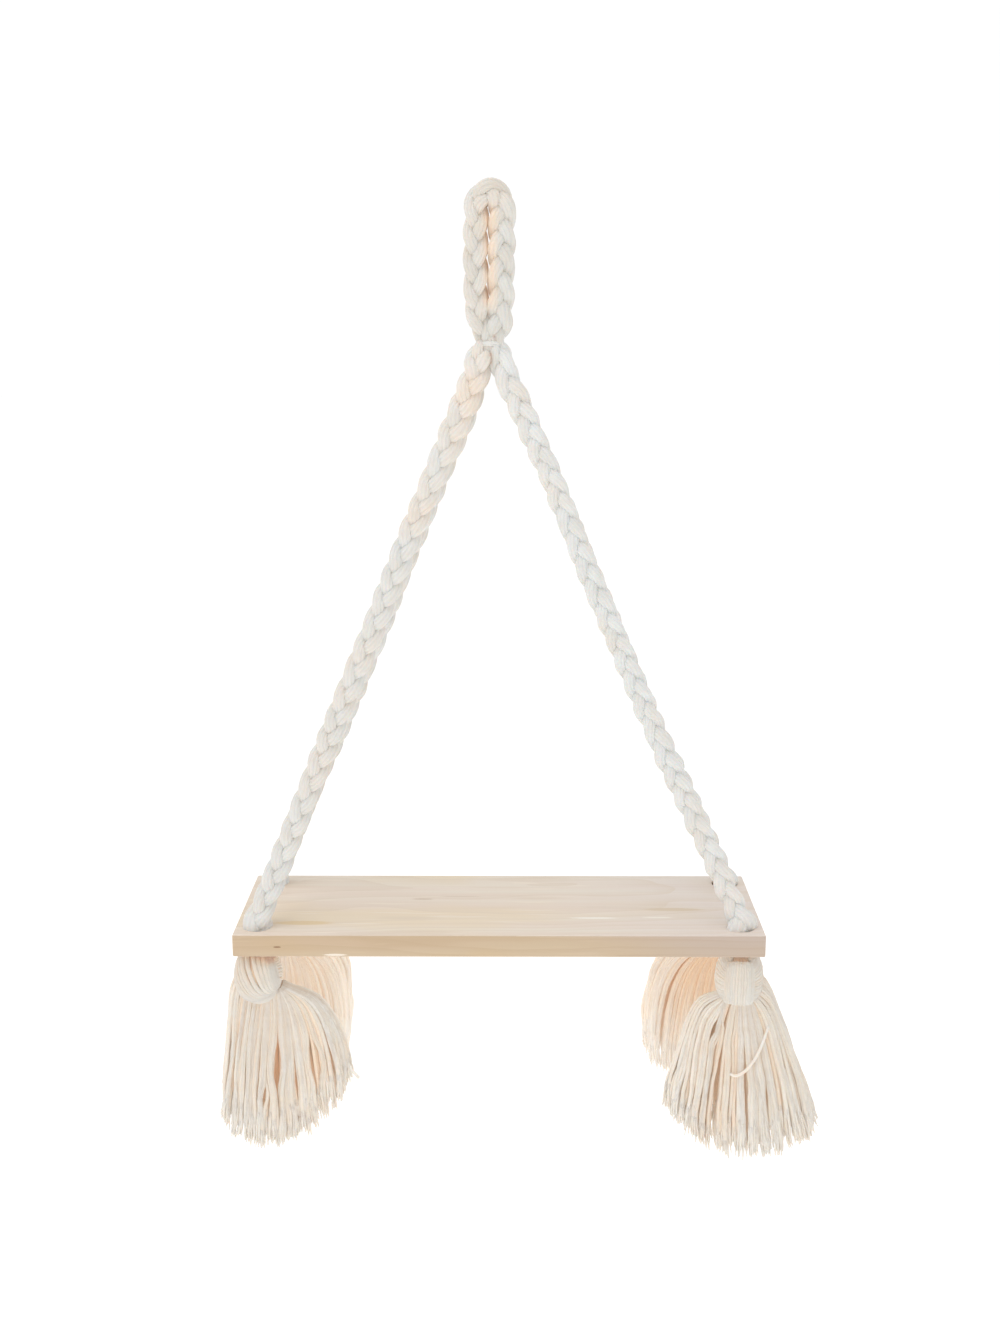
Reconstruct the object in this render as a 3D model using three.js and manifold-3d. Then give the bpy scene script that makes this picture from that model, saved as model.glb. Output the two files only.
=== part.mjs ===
// Hanging rope shelf: a pale board with a hole near each corner, carried by two plaited cotton ropes.
// Each rope runs from a tassel through a hole, up to a lashed neck, over as a hanging loop and down again.
// Millimetres, +Z up, +X along the board, front towards -Y. The origin is where the hook bears in the loop.
import * as THREE from "three";
import { mergeVertices } from "three/addons/utils/BufferGeometryUtils.js";
import Module from "manifold-3d";

// Board
const BOARD_LENGTH = 420;
const BOARD_DEPTH = 140;
const BOARD_THICKNESS = 18;
const BOARD_EDGE_ROUND = 1.1;
const BOARD_ROUND_STEPS = 2;
const HOLE_END_WALL = 7;
const HOLE_SIDE_WALL = 8.5;
const HOLE_ROPE_CLEARANCE = 1.2;
const HOLE_SIDES = 16;

// Plaited rope, as shares of the strand that it is plaited from
const STRAND_DIAMETER = 6;
const STRANDS = 3;
const PLAIT_SWING_SHARE = 1.06;
const PLAIT_LIFT_SHARE = 0.86;
const PLAIT_CYCLE_SHARE = 9.8;
const STRAND_SIDES = 5;
const STEPS_PER_CYCLE = 8;

// Hang of the ropes
const LOOP_DROP = 106;
const LEG_DROP = 455;
const SHELF_SHIFT = 7;
const LOOP_SLIT = 3;
const LOOP_ARC_POINTS = 8;
const ROPE_SPACING = 0.6;
const LEG_BEND_RISE = 6;

// Which way round the ropes are plaited, 1 or -1, on the way up the left of the loop and down its right
const LOOP_HAND = -1;

// Lashed neck, where the thread squeezes all four rope runs together
const NECK_RADIUS_SHARE = 0.7;
const NECK_WAIST_SHARE = 0.84;
const NECK_CAP_ANGLE = 48;
const NECK_WAIST_ANGLE = 60;
const NECK_SQUEEZE_SHARE = 0.6;
const NECK_SPREAD_ANGLE = 31;
const NECK_REACH_SHARE = 1.25;
const NECK_SIDES = 20;
const NECK_CAP_STEPS = 3;
const NECK_FILLET_SHARES = [0.35, 0.75];
const THREAD_DIAMETER = 1;
const THREAD_TURNS = 3;
const THREAD_TURN_GAP = 0.45;
const THREAD_STEPS_PER_TURN = 20;
const THREAD_SIDES = 5;

// Knot under each hole
const KNOT_HEIGHT = 46.5;
const KNOT_WIDTH = 39;
const KNOT_CORE_SHARE = 0.85;
const KNOT_CORE_DROP_SHARE = 0.42;
const KNOT_BAND_SHARE = 0.37;
const KNOT_BAND_TILT = 34;
const KNOT_BAND_RISE_SHARE = 0.04;
const KNOT_SIDES = 14;
const KNOT_RINGS = 8;
const BAND_SIDES = 6;

// Tassel below each knot
const TASSEL_LENGTH = 124;
const TASSEL_HALF_DEPTH = 27;
const TASSEL_NECK_RADIUS = 7;
const TASSEL_NECK_SINK = 2;
const TASSEL_NECK_SIDES = 12;
const TASSEL_NECK_RINGS = 8;
const TASSEL_SHOULDER = 12.5;
const TASSEL_FLUTE_COUNT = 12;
const TASSEL_FLUTE_DEPTH_SHARE = 0.07;
const TASSEL_RAGGED_HEM = 5;
const TASSEL_FLUTE_POINT_COUNT = 2;
const TASSEL_RING_SHARES = [0, 0.06, 0.18, 0.4, 0.7, 1];
const TASSEL_FLARE_SHARES = [0, 0.12, 0.34, 0.66, 0.92, 1];
const TASSEL_FLUTE_SHARES = [0, 0.3, 0.8, 1, 1, 1];

// What is left between two pieces that touch, and how far a cutting solid runs past what it cuts
const SEAT_GAP = 0.3;
const CUT_OVERRUN = 2;

// How finely the length of a wound or plaited curve is measured
const CURVE_DIVISIONS = 600;

// Corners of the board, with the tilt of each knot
const CORNERS = [
  { name: "front_left", x: -1, y: -1, tilt: 1 },
  { name: "front_right", x: 1, y: -1, tilt: -1 },
  { name: "back_left", x: -1, y: 1, tilt: -1 },
  { name: "back_right", x: 1, y: 1, tilt: 1 },
];

// How each tassel has fallen, as shares of the tassel's length: half its spread, its lean to the right,
// how far it drops, and how far its hem rises to the right
const FALL_SHARES = {
  front_left: { spreadShare: 0.38, leanShare: 0.113, dropShare: 0.97, riseShare: 0.097 },
  front_right: { spreadShare: 0.492, leanShare: 0.024, dropShare: 1.055, riseShare: -0.065 },
  back_left: { spreadShare: 0.37, leanShare: 0.121, dropShare: 0.95, riseShare: 0.048 },
  back_right: { spreadShare: 0.403, leanShare: -0.129, dropShare: 0.935, riseShare: -0.048 },
};
const ROPES = [
  { name: "front", y: -1 },
  { name: "back", y: 1 },
];

// Sizes that follow
const PLAIT_SWING = PLAIT_SWING_SHARE * STRAND_DIAMETER;
const PLAIT_LIFT = PLAIT_LIFT_SHARE * STRAND_DIAMETER;
const PLAIT_CYCLE = PLAIT_CYCLE_SHARE * STRAND_DIAMETER;
const ROPE_WIDTH = 2 * PLAIT_SWING + STRAND_DIAMETER;
const ROPE_THICKNESS = 2 * PLAIT_LIFT + STRAND_DIAMETER;
const HOLE_RADIUS = ROPE_WIDTH / 2 + HOLE_ROPE_CLEARANCE;
const HOLE_X = BOARD_LENGTH / 2 - HOLE_END_WALL - HOLE_RADIUS;
const HOLE_Y = BOARD_DEPTH / 2 - HOLE_SIDE_WALL - HOLE_RADIUS;
const NECK_Z = -LOOP_DROP;
const BOARD_TOP_Z = NECK_Z - LEG_DROP;
const BOARD_UNDER_Z = BOARD_TOP_Z - BOARD_THICKNESS;
const COLUMN_X = (ROPE_WIDTH + LOOP_SLIT) / 2;
const ROPE_Y = (ROPE_THICKNESS + ROPE_SPACING) / 2;
const CROTCH_X = (ROPE_WIDTH + ROPE_SPACING) / 2;
const NECK_RADIUS = NECK_RADIUS_SHARE * ROPE_WIDTH;
const NECK_WAIST = NECK_WAIST_SHARE * NECK_RADIUS;
const NECK_REACH = NECK_REACH_SHARE * ROPE_WIDTH;
const KNOT_TOP_Z = BOARD_UNDER_Z - SEAT_GAP;
const TASSEL_PIVOT_Z = KNOT_TOP_Z - KNOT_HEIGHT - TASSEL_NECK_SINK;

// Colours and finishes
const MATERIALS = {
  wood: new THREE.MeshStandardMaterial({ color: 0xdcc8ac, roughness: 0.62, metalness: 0 }),
  cotton: new THREE.MeshStandardMaterial({ color: 0xe9e1d6, roughness: 0.95, metalness: 0 }),
  thread: new THREE.MeshStandardMaterial({ color: 0xf4f1ea, roughness: 0.9, metalness: 0 }),
};

const wasm = await Module();
wasm.setup();

const radians = (degrees) => THREE.MathUtils.degToRad(degrees);

// A closed geometry as a solid that can be joined and cut.
function solidOf(geometry) {
  const plain = geometry.index ? geometry.toNonIndexed() : geometry.clone();
  plain.deleteAttribute("normal");
  plain.deleteAttribute("uv");
  const merged = mergeVertices(plain);
  const vertProperties = merged.attributes.position.array;
  const triVerts = new Uint32Array(merged.index.array);
  return new wasm.Manifold(new wasm.Mesh({ numProp: 3, vertProperties, triVerts }));
}

// A solid back as a geometry.
function geometryOf(solid) {
  const mesh = solid.getMesh();
  const geometry = new THREE.BufferGeometry();
  geometry.setAttribute("position", new THREE.BufferAttribute(mesh.vertProperties, 3));
  geometry.setIndex(new THREE.BufferAttribute(mesh.triVerts, 1));
  geometry.computeVertexNormals();
  return geometry;
}

// A closed skin over rings of points that all have the same count, with a fan on each end.
function loft(rings) {
  const sides = rings[0].length;
  const points = rings.flat();
  const faces = [];
  for (let ring = 0; ring + 1 < rings.length; ring++) {
    for (let side = 0; side < sides; side++) {
      const a = ring * sides + side;
      const b = ring * sides + ((side + 1) % sides);
      faces.push(a, b, b + sides, a, b + sides, a + sides);
    }
  }
  const addFan = (start, flip) => {
    const centre = new THREE.Vector3();
    for (let side = 0; side < sides; side++) centre.add(points[start + side]);
    points.push(centre.divideScalar(sides));
    for (let side = 0; side < sides; side++) {
      const a = start + side;
      const b = start + ((side + 1) % sides);
      faces.push(...(flip ? [b, a, points.length - 1] : [a, b, points.length - 1]));
    }
  };
  const last = (rings.length - 1) * sides;
  addFan(0, true);
  addFan(last, false);
  const geometry = new THREE.BufferGeometry().setFromPoints(points);
  geometry.setIndex(faces);
  geometry.computeVertexNormals();
  return geometry;
}

// A round tube along a curve, whose radius may change along it.
function tube(curve, radiusAt, steps, sides) {
  const frames = curve.computeFrenetFrames(steps, false);
  const rings = [];
  for (let step = 0; step <= steps; step++) {
    const centre = curve.getPointAt(step / steps);
    const radius = radiusAt(step / steps);
    const ring = [];
    for (let side = 0; side < sides; side++) {
      const angle = (2 * Math.PI * side) / sides;
      ring.push(
        centre
          .clone()
          .addScaledVector(frames.normals[step], radius * Math.cos(angle))
          .addScaledVector(frames.binormals[step], radius * Math.sin(angle)),
      );
    }
    rings.push(ring);
  }
  return loft(rings);
}

// One strand of a plait. The rope's centreline lies near an upright plane, and its flat side faces front.
// The hand, 1 or -1, is the way round that it is plaited, seen along its run.
class PlaitStrand extends THREE.Curve {
  constructor(centreline, hand, phase, fullnessAt) {
    super();
    this.centreline = centreline;
    this.hand = hand;
    this.phase = phase;
    this.fullnessAt = fullnessAt;
    this.ropeLength = centreline.getLength();
    this.arcLengthDivisions = CURVE_DIVISIONS;
  }

  getPoint(share, target = new THREE.Vector3()) {
    const tangent = this.centreline.getTangentAt(share);
    const across = new THREE.Vector3(0, 1, 0).cross(tangent).normalize();
    const outward = tangent.clone().cross(across);
    const turn = this.phase + (2 * Math.PI * share * this.ropeLength) / PLAIT_CYCLE;
    const fullness = this.fullnessAt(share);
    const lift = this.hand * fullness * PLAIT_LIFT;
    return target
      .copy(this.centreline.getPointAt(share))
      .addScaledVector(across, fullness * PLAIT_SWING * Math.sin(turn))
      .addScaledVector(outward, lift * Math.sin(2 * turn));
  }
}

// How full the plait is at a share of its run: squeezed at the neck, and full one reach away from it.
function fullness(distance) {
  const share = THREE.MathUtils.clamp(distance / NECK_REACH, 0, 1);
  return THREE.MathUtils.lerp(NECK_SQUEEZE_SHARE, 1, share);
}

// What trims the strands' ends: a ball round the neck, and all that lies below the board.
function strandTrim() {
  const ball = new THREE.SphereGeometry(NECK_RADIUS + SEAT_GAP, NECK_SIDES, NECK_SIDES / 2);
  ball.rotateX(Math.PI / 2).translate(0, 0, NECK_Z);
  const below = new THREE.BoxGeometry(2 * BOARD_LENGTH, 2 * BOARD_DEPTH, BOARD_THICKNESS);
  below.translate(0, 0, BOARD_UNDER_Z - BOARD_THICKNESS / 2);
  return solidOf(ball).add(solidOf(below));
}

// The strands of one rope run, each as a geometry.
function plait(centreline, hand, fullnessAt) {
  const trim = strandTrim();
  const length = centreline.getLength();
  const steps = Math.ceil((length / PLAIT_CYCLE) * STEPS_PER_CYCLE);
  const geometries = [];
  for (let strand = 0; strand < STRANDS; strand++) {
    const curve = new PlaitStrand(centreline, hand, (2 * Math.PI * strand) / STRANDS, fullnessAt);
    const radiusAt = (share) => (fullnessAt(share) * STRAND_DIAMETER) / 2;
    const strandSolid = solidOf(tube(curve, radiusAt, steps, STRAND_SIDES));
    geometries.push(geometryOf(strandSolid.subtract(trim)));
  }
  return geometries;
}

// Where a rope run leaves the neck, for its side left or right, front or back, and up or down.
function neckExit(sideX, sideY, sideZ) {
  const distance = NECK_RADIUS - CUT_OVERRUN;
  const flat = distance * Math.sin(radians(NECK_SPREAD_ANGLE));
  const ratio = ROPE_Y / CROTCH_X;
  const x = flat / Math.hypot(1, ratio);
  const rise = distance * Math.cos(radians(NECK_SPREAD_ANGLE));
  return new THREE.Vector3(sideX * x, sideY * x * ratio, NECK_Z + sideZ * rise);
}

// Centreline of the hanging loop of one rope: up the left column, over the hook and down the right one.
function loopCentreline(sideY) {
  const y = sideY * ROPE_Y;
  const arcZ = -LOOP_SLIT / 2;
  const fullZ = NECK_Z + NECK_REACH + ROPE_WIDTH / 2;
  const columnZ = (arcZ + fullZ) / 2;
  const points = [neckExit(-1, sideY, 1)];
  for (const z of [fullZ, columnZ]) points.push(new THREE.Vector3(-COLUMN_X, y, z));
  for (let step = 0; step <= LOOP_ARC_POINTS; step++) {
    const angle = Math.PI * (1 - step / LOOP_ARC_POINTS);
    points.push(
      new THREE.Vector3(COLUMN_X * Math.cos(angle), y, arcZ + COLUMN_X * Math.sin(angle)),
    );
  }
  for (const z of [columnZ, fullZ]) points.push(new THREE.Vector3(COLUMN_X, y, z));
  points.push(neckExit(1, sideY, 1));
  return new THREE.CatmullRomCurve3(points, false, "centripetal");
}

// Centreline of one leg: out of the neck, straight down to its hole, and upright through the board.
function legCentreline(corner) {
  const hole = holeCentre(corner);
  const crotch = new THREE.Vector3(corner.x * CROTCH_X, corner.y * ROPE_Y, NECK_Z - NECK_REACH);
  const bend = new THREE.Vector3(hole.x, hole.y, BOARD_TOP_Z + LEG_BEND_RISE);
  const under = new THREE.Vector3(hole.x, hole.y, BOARD_UNDER_Z - CUT_OVERRUN);
  const before = bend.clone().lerp(crotch, (2 * LEG_BEND_RISE) / LEG_DROP);
  const after = new THREE.Vector3(hole.x, hole.y, BOARD_TOP_Z - LEG_BEND_RISE);
  const leg = new THREE.CurvePath();
  leg.add(new THREE.LineCurve3(neckExit(corner.x, corner.y, -1), crotch));
  leg.add(new THREE.LineCurve3(crotch, before));
  leg.add(new THREE.QuadraticBezierCurve3(before, bend, after));
  leg.add(new THREE.LineCurve3(after, under));
  return leg;
}

function holeCentre(corner) {
  return new THREE.Vector2(SHELF_SHIFT + corner.x * HOLE_X, corner.y * HOLE_Y);
}

// Board: a slab with softly rounded edges, and four round holes.
function boardGeometry() {
  const halfLength = BOARD_LENGTH / 2 - BOARD_EDGE_ROUND;
  const halfDepth = BOARD_DEPTH / 2 - BOARD_EDGE_ROUND;
  const outline = new THREE.Shape();
  outline.moveTo(-halfLength, -halfDepth);
  outline.lineTo(halfLength, -halfDepth);
  outline.lineTo(halfLength, halfDepth);
  outline.lineTo(-halfLength, halfDepth);
  outline.closePath();
  for (const corner of CORNERS) {
    const hole = new THREE.Path();
    const radius = HOLE_RADIUS + BOARD_EDGE_ROUND;
    hole.absarc(corner.x * HOLE_X, corner.y * HOLE_Y, radius, 0, 2 * Math.PI, true);
    outline.holes.push(hole);
  }
  const geometry = new THREE.ExtrudeGeometry(outline, {
    depth: BOARD_THICKNESS - 2 * BOARD_EDGE_ROUND,
    curveSegments: HOLE_SIDES,
    bevelThickness: BOARD_EDGE_ROUND,
    bevelSize: BOARD_EDGE_ROUND,
    bevelSegments: BOARD_ROUND_STEPS,
  });
  return geometry.translate(0, 0, BOARD_EDGE_ROUND);
}

// Neck: the squeezed bundle of rope, a ball with a waist where the thread lies.
function neckGeometry() {
  const outline = [];
  const add = (degrees, radius) => {
    const angle = radians(degrees);
    outline.push(new THREE.Vector2(radius * Math.sin(angle), radius * Math.cos(angle)));
  };
  for (let step = 0; step <= NECK_CAP_STEPS; step++) {
    add((NECK_CAP_ANGLE * step) / NECK_CAP_STEPS, NECK_RADIUS);
  }
  for (const share of NECK_FILLET_SHARES) {
    const ease = THREE.MathUtils.smoothstep(share, 0, 1);
    const angle = THREE.MathUtils.lerp(NECK_CAP_ANGLE, NECK_WAIST_ANGLE, share);
    add(angle, THREE.MathUtils.lerp(NECK_RADIUS, NECK_WAIST, ease));
  }
  add(NECK_WAIST_ANGLE, NECK_WAIST);
  const middle = new THREE.Vector2(NECK_WAIST, 0);
  const lower = outline.map((point) => new THREE.Vector2(point.x, -point.y)).reverse();
  const profile = [...outline, middle, ...lower].reverse();
  return new THREE.LatheGeometry(profile, NECK_SIDES).rotateX(Math.PI / 2);
}

// Thread: one unbroken tube wound round the waist of the neck.
class ThreadWinding extends THREE.Curve {
  constructor() {
    super();
    this.radius = NECK_WAIST + SEAT_GAP + THREAD_DIAMETER / 2;
    this.pitch = THREAD_DIAMETER + THREAD_TURN_GAP;
    this.arcLengthDivisions = CURVE_DIVISIONS;
  }

  getPoint(share, target = new THREE.Vector3()) {
    const angle = 2 * Math.PI * THREAD_TURNS * share;
    const z = this.pitch * THREAD_TURNS * (share - 1 / 2);
    return target.set(this.radius * Math.cos(angle), this.radius * Math.sin(angle), z);
  }

  // The least gap between one turn and the next, measured on points.
  leastGap() {
    const steps = THREAD_TURNS * THREAD_STEPS_PER_TURN;
    const points = this.getPoints(steps);
    let least = Infinity;
    for (let near = 0; near <= steps; near++) {
      for (let far = near + THREAD_STEPS_PER_TURN / 2; far <= steps; far++) {
        least = Math.min(least, points[near].distanceTo(points[far]));
      }
    }
    return least - THREAD_DIAMETER;
  }
}

function threadGeometry(winding) {
  const steps = THREAD_TURNS * THREAD_STEPS_PER_TURN;
  return tube(winding, () => THREAD_DIAMETER / 2, steps, THREAD_SIDES);
}

// Knot: a rounded core with two turns of rope crossing over it, pressed flat against the board.
function knotGeometry(corner) {
  const coreRadius = (KNOT_CORE_SHARE * KNOT_WIDTH) / 2;
  const coreDrop = KNOT_CORE_DROP_SHARE * KNOT_HEIGHT;
  const core = new THREE.SphereGeometry(1, KNOT_SIDES, KNOT_RINGS);
  core.rotateX(Math.PI / 2);
  core.scale(coreRadius, coreRadius, KNOT_HEIGHT - coreDrop);
  core.translate(0, 0, -coreDrop);
  const bandRadius = (KNOT_BAND_SHARE * KNOT_WIDTH) / 2;
  let knot = solidOf(core);
  for (const side of [1, -1]) {
    const band = new THREE.TorusGeometry(KNOT_WIDTH / 2 - bandRadius, bandRadius, BAND_SIDES, KNOT_SIDES);
    band.rotateY(radians(side * corner.tilt * KNOT_BAND_TILT));
    band.rotateZ(side > 0 ? 0 : Math.PI / 2);
    band.translate(0, 0, -coreDrop - side * KNOT_BAND_RISE_SHARE * KNOT_HEIGHT);
    knot = knot.add(solidOf(band));
  }
  const above = new THREE.BoxGeometry(2 * KNOT_WIDTH, 2 * KNOT_WIDTH, KNOT_HEIGHT);
  above.translate(0, 0, KNOT_HEIGHT / 2);
  const dish = new THREE.SphereGeometry(TASSEL_NECK_RADIUS + SEAT_GAP, TASSEL_NECK_SIDES, TASSEL_NECK_RINGS);
  dish.rotateX(Math.PI / 2);
  dish.translate(0, 0, -KNOT_HEIGHT - TASSEL_NECK_SINK);
  return geometryOf(knot.subtract(solidOf(above)).subtract(solidOf(dish)));
}

// Tassel neck: the yarns gathered into a ball where they leave the knot.
function tasselNeckGeometry() {
  const neck = new THREE.SphereGeometry(TASSEL_NECK_RADIUS, TASSEL_NECK_SIDES, TASSEL_NECK_RINGS);
  return neck.rotateX(Math.PI / 2);
}

// Tassel skirt: fluted rings that spread from the neck to a ragged hem, with a dish for the neck.
function skirtGeometry(corner) {
  const points = TASSEL_FLUTE_COUNT * TASSEL_FLUTE_POINT_COUNT;
  const shares = FALL_SHARES[corner.name];
  const spread = shares.spreadShare * TASSEL_LENGTH;
  const lean = shares.leanShare * TASSEL_LENGTH;
  const rings = TASSEL_RING_SHARES.map((drop, ring) => {
    const flare = TASSEL_FLARE_SHARES[ring];
    const fluteDepth = TASSEL_FLUTE_DEPTH_SHARE * TASSEL_FLUTE_SHARES[ring];
    const across = THREE.MathUtils.lerp(TASSEL_SHOULDER, spread, flare);
    const along = THREE.MathUtils.lerp(TASSEL_SHOULDER, TASSEL_HALF_DEPTH, flare);
    return Array.from({ length: points }, (unused, point) => {
      const angle = (2 * Math.PI * point) / points;
      const crest = point % TASSEL_FLUTE_POINT_COUNT ? 1 - fluteDepth : 1;
      const hem = TASSEL_LENGTH * (shares.riseShare * Math.cos(angle) - shares.dropShare);
      const ragged = point % TASSEL_FLUTE_POINT_COUNT ? TASSEL_RAGGED_HEM : 0;
      return new THREE.Vector3(
        lean * flare + across * crest * Math.cos(angle),
        along * crest * Math.sin(angle),
        -SEAT_GAP + (hem + ragged) * drop,
      );
    });
  });
  const skirt = solidOf(loft(rings.reverse()));
  const dish = new THREE.SphereGeometry(TASSEL_NECK_RADIUS + SEAT_GAP, TASSEL_NECK_SIDES, TASSEL_NECK_RINGS);
  return geometryOf(skirt.subtract(solidOf(dish.rotateX(Math.PI / 2))));
}

function piece(name, geometry, material) {
  const mesh = new THREE.Mesh(geometry, material);
  mesh.name = name;
  return mesh;
}

// Hanging loop: the three strands of each rope between its two passes through the neck.
function hangingLoop() {
  const group = new THREE.Group();
  for (const rope of ROPES) {
    const centreline = loopCentreline(rope.y);
    const length = centreline.getLength();
    const fullnessAt = (share) => fullness(Math.min(share, 1 - share) * length);
    plait(centreline, LOOP_HAND, fullnessAt).forEach((strand, index) => {
      group.add(piece(`${rope.name}_loop_strand_${index + 1}`, strand, MATERIALS.cotton));
    });
  }
  return group;
}

// Leg: the three strands of one rope from the neck to the underside of the board. The rope comes up the
// left legs and goes down the right ones, so seen downwards a left leg is plaited the other way round.
function leg(corner) {
  const group = new THREE.Group();
  const centreline = legCentreline(corner);
  const length = centreline.getLength();
  const hand = corner.x * LOOP_HAND;
  plait(centreline, hand, (share) => fullness(share * length)).forEach((strand, index) => {
    group.add(piece(`${corner.name}_leg_strand_${index + 1}`, strand, MATERIALS.cotton));
  });
  return group;
}

// Neck and the thread wound round it.
function lashing() {
  const group = new THREE.Group();
  const winding = new ThreadWinding();
  console.log(`least gap between turns of thread: ${winding.leastGap().toFixed(2)} mm`);
  group.add(piece("rope_neck", neckGeometry(), MATERIALS.cotton));
  group.add(piece("lashing_thread", threadGeometry(winding), MATERIALS.thread));
  group.position.z = NECK_Z;
  return group;
}

// Knot and tassel that end one rope run.
function ropeEnd(corner) {
  const group = new THREE.Group();
  const hole = holeCentre(corner);
  const knot = piece(`${corner.name}_knot`, knotGeometry(corner), MATERIALS.cotton);
  knot.position.z = KNOT_TOP_Z;
  const neck = piece(`${corner.name}_tassel_neck`, tasselNeckGeometry(), MATERIALS.cotton);
  neck.position.z = TASSEL_PIVOT_Z;
  const skirt = piece(`${corner.name}_tassel`, skirtGeometry(corner), MATERIALS.cotton);
  skirt.position.z = TASSEL_PIVOT_Z;
  group.add(knot, neck, skirt);
  group.position.set(hole.x, hole.y, 0);
  return group;
}

const shelf = new THREE.Group();
const board = piece("board", boardGeometry(), MATERIALS.wood);
board.position.set(SHELF_SHIFT, 0, BOARD_UNDER_Z);
shelf.add(hangingLoop(), lashing(), board);
for (const corner of CORNERS) shelf.add(leg(corner), ropeEnd(corner));

export default shelf;
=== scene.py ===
"""Hanging rope shelf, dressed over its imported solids.

A pale wooden board hangs on two plaited cotton ropes. Each rope runs from a tassel and a knot under the
board, through a hole, up to a lashed neck, over as a hanging loop, and down again on the other side.
Sizes are in millimetres, as in the part's source, and each mesh is scaled to metres when it is built.
+Z is up, +X runs along the board, the front looks towards -Y, and the origin is where the hook bears.
"""
import logging
import math
from dataclasses import dataclass
from enum import Enum
from functools import cache
from typing import Any

import bpy
import numpy as np
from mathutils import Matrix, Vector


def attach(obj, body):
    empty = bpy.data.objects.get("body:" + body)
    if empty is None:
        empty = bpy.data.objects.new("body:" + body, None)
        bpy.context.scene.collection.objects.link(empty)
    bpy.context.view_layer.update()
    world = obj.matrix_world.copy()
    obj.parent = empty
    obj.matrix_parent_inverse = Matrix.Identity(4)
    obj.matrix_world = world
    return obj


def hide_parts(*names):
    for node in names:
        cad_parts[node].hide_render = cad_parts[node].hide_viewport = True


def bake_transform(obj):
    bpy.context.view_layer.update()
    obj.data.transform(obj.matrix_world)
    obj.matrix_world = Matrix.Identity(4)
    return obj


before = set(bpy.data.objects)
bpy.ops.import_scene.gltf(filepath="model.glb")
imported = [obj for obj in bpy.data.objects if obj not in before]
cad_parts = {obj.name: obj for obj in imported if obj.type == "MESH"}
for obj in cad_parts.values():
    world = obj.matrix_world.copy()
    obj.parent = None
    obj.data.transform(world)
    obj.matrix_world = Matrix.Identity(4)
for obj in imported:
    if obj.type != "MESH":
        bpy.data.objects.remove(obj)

LOG = logging.getLogger("rope_shelf")
Points = np.ndarray
Colour = tuple[float, float, float]
MM = 0.001
FULL_TURN = 2 * math.pi
FRONT = np.array([0.0, -1.0, 0.0])

# Places that the part's source gives, in millimetres.
NECK_Z = -106.0
BOARD_TOP_Z = -561.0
BOARD_UNDER_Z = -579.0
BOARD_MIDDLE_X = 7.0
HOLE_FROM_MIDDLE = np.array([192.44, 50.94])
TASSEL_PIVOT_Z = -627.8


def smoothstep(value: Points | float, low: float, high: float) -> Points:
    """Eases from 0 at low to 1 at high.

    Args:
        value: The number or numbers to ease.
        low: Where the result is 0.
        high: Where the result is 1.

    Returns:
        The eased numbers, each from 0 to 1.
    """
    share = np.clip((np.asarray(value, float) - low) / (high - low), 0, 1)
    return share * share * (3 - 2 * share)


def smooth_curve(control: Points, count: int) -> Points:
    """Runs a smooth curve through control points.

    Args:
        control: The points that the curve passes, one in each row.
        count: How many points to give back.

    Returns:
        Points at even steps from the first control point to the last.
    """
    control = np.asarray(control, float)
    ends = 2 * control[[0, -1]] - control[[1, -2]]
    padded = np.vstack([ends[:1], control, ends[1:]])
    place = np.linspace(0, len(control) - 1, count)
    index = np.minimum(place.astype(int), len(control) - 2)
    share = (place - index)[:, None]
    before, start, end, after = (padded[index + step] for step in range(4))
    bend = (2 * before - 5 * start + 4 * end - after) * share**2
    ease = (3 * start - before - 3 * end + after) * share**3
    return 0.5 * (2 * start + (end - before) * share + bend + ease)


def unit(vectors: Points) -> Points:
    """Gives vectors, one in each row, a length of 1."""
    return vectors / np.linalg.norm(vectors, axis=1, keepdims=True)


def arc_lengths(path: Points) -> Points:
    """Gives the distance along a path at each of its points."""
    return np.concatenate([[0.0], np.cumsum(np.linalg.norm(np.diff(path, axis=0), axis=1))])


def at_places(places: Points, known: Points, path: Points) -> Points:
    """Gives the points at some places along a path, from its own points at the known places."""
    return np.stack([np.interp(places, known, path[:, axis]) for axis in range(3)], axis=1)


def resample(path: Points, spacing: float) -> Points:
    """Spaces points evenly along a path.

    Args:
        path: The path's points.
        spacing: About how far apart the new points lie.

    Returns:
        The new points, with both ends kept.
    """
    lengths = arc_lengths(path)
    places = np.linspace(0, lengths[-1], max(2, round(lengths[-1] / spacing) + 1))
    return at_places(places, lengths, path)


def soften(path: Points, reach: float) -> Points:
    """Rounds the corners of a path.

    Args:
        path: Points about a millimetre apart.
        reach: How far along the path the rounding reaches.

    Returns:
        The rounded path, with both ends kept.
    """
    half = int(3 * reach)
    weights = np.exp(-0.5 * (np.arange(-half, half + 1) / reach) ** 2)
    weights /= weights.sum()
    head = 2 * path[0] - path[half:0:-1]
    tail = 2 * path[-1] - path[-2 : -half - 2 : -1]
    padded = np.vstack([head, path, tail])
    return np.stack([np.convolve(padded[:, axis], weights, "valid") for axis in range(3)], axis=1)


def drift(rng: np.random.Generator, places: Points, period: float) -> Points:
    """Makes a slow random wave.

    Args:
        rng: The seeded source of randomness.
        places: Distances at which the wave is wanted.
        period: About how long one wave is.

    Returns:
        One number from about -1 to 1 for each place.
    """
    periods = period * np.array([1.0, 0.63, 0.41])
    weights = np.array([0.5, 0.3, 0.2])
    phases = rng.uniform(0, FULL_TURN, len(periods))
    turns = FULL_TURN * np.asarray(places)[..., None] / periods
    return (np.sin(turns + phases) * weights).sum(-1)


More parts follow.
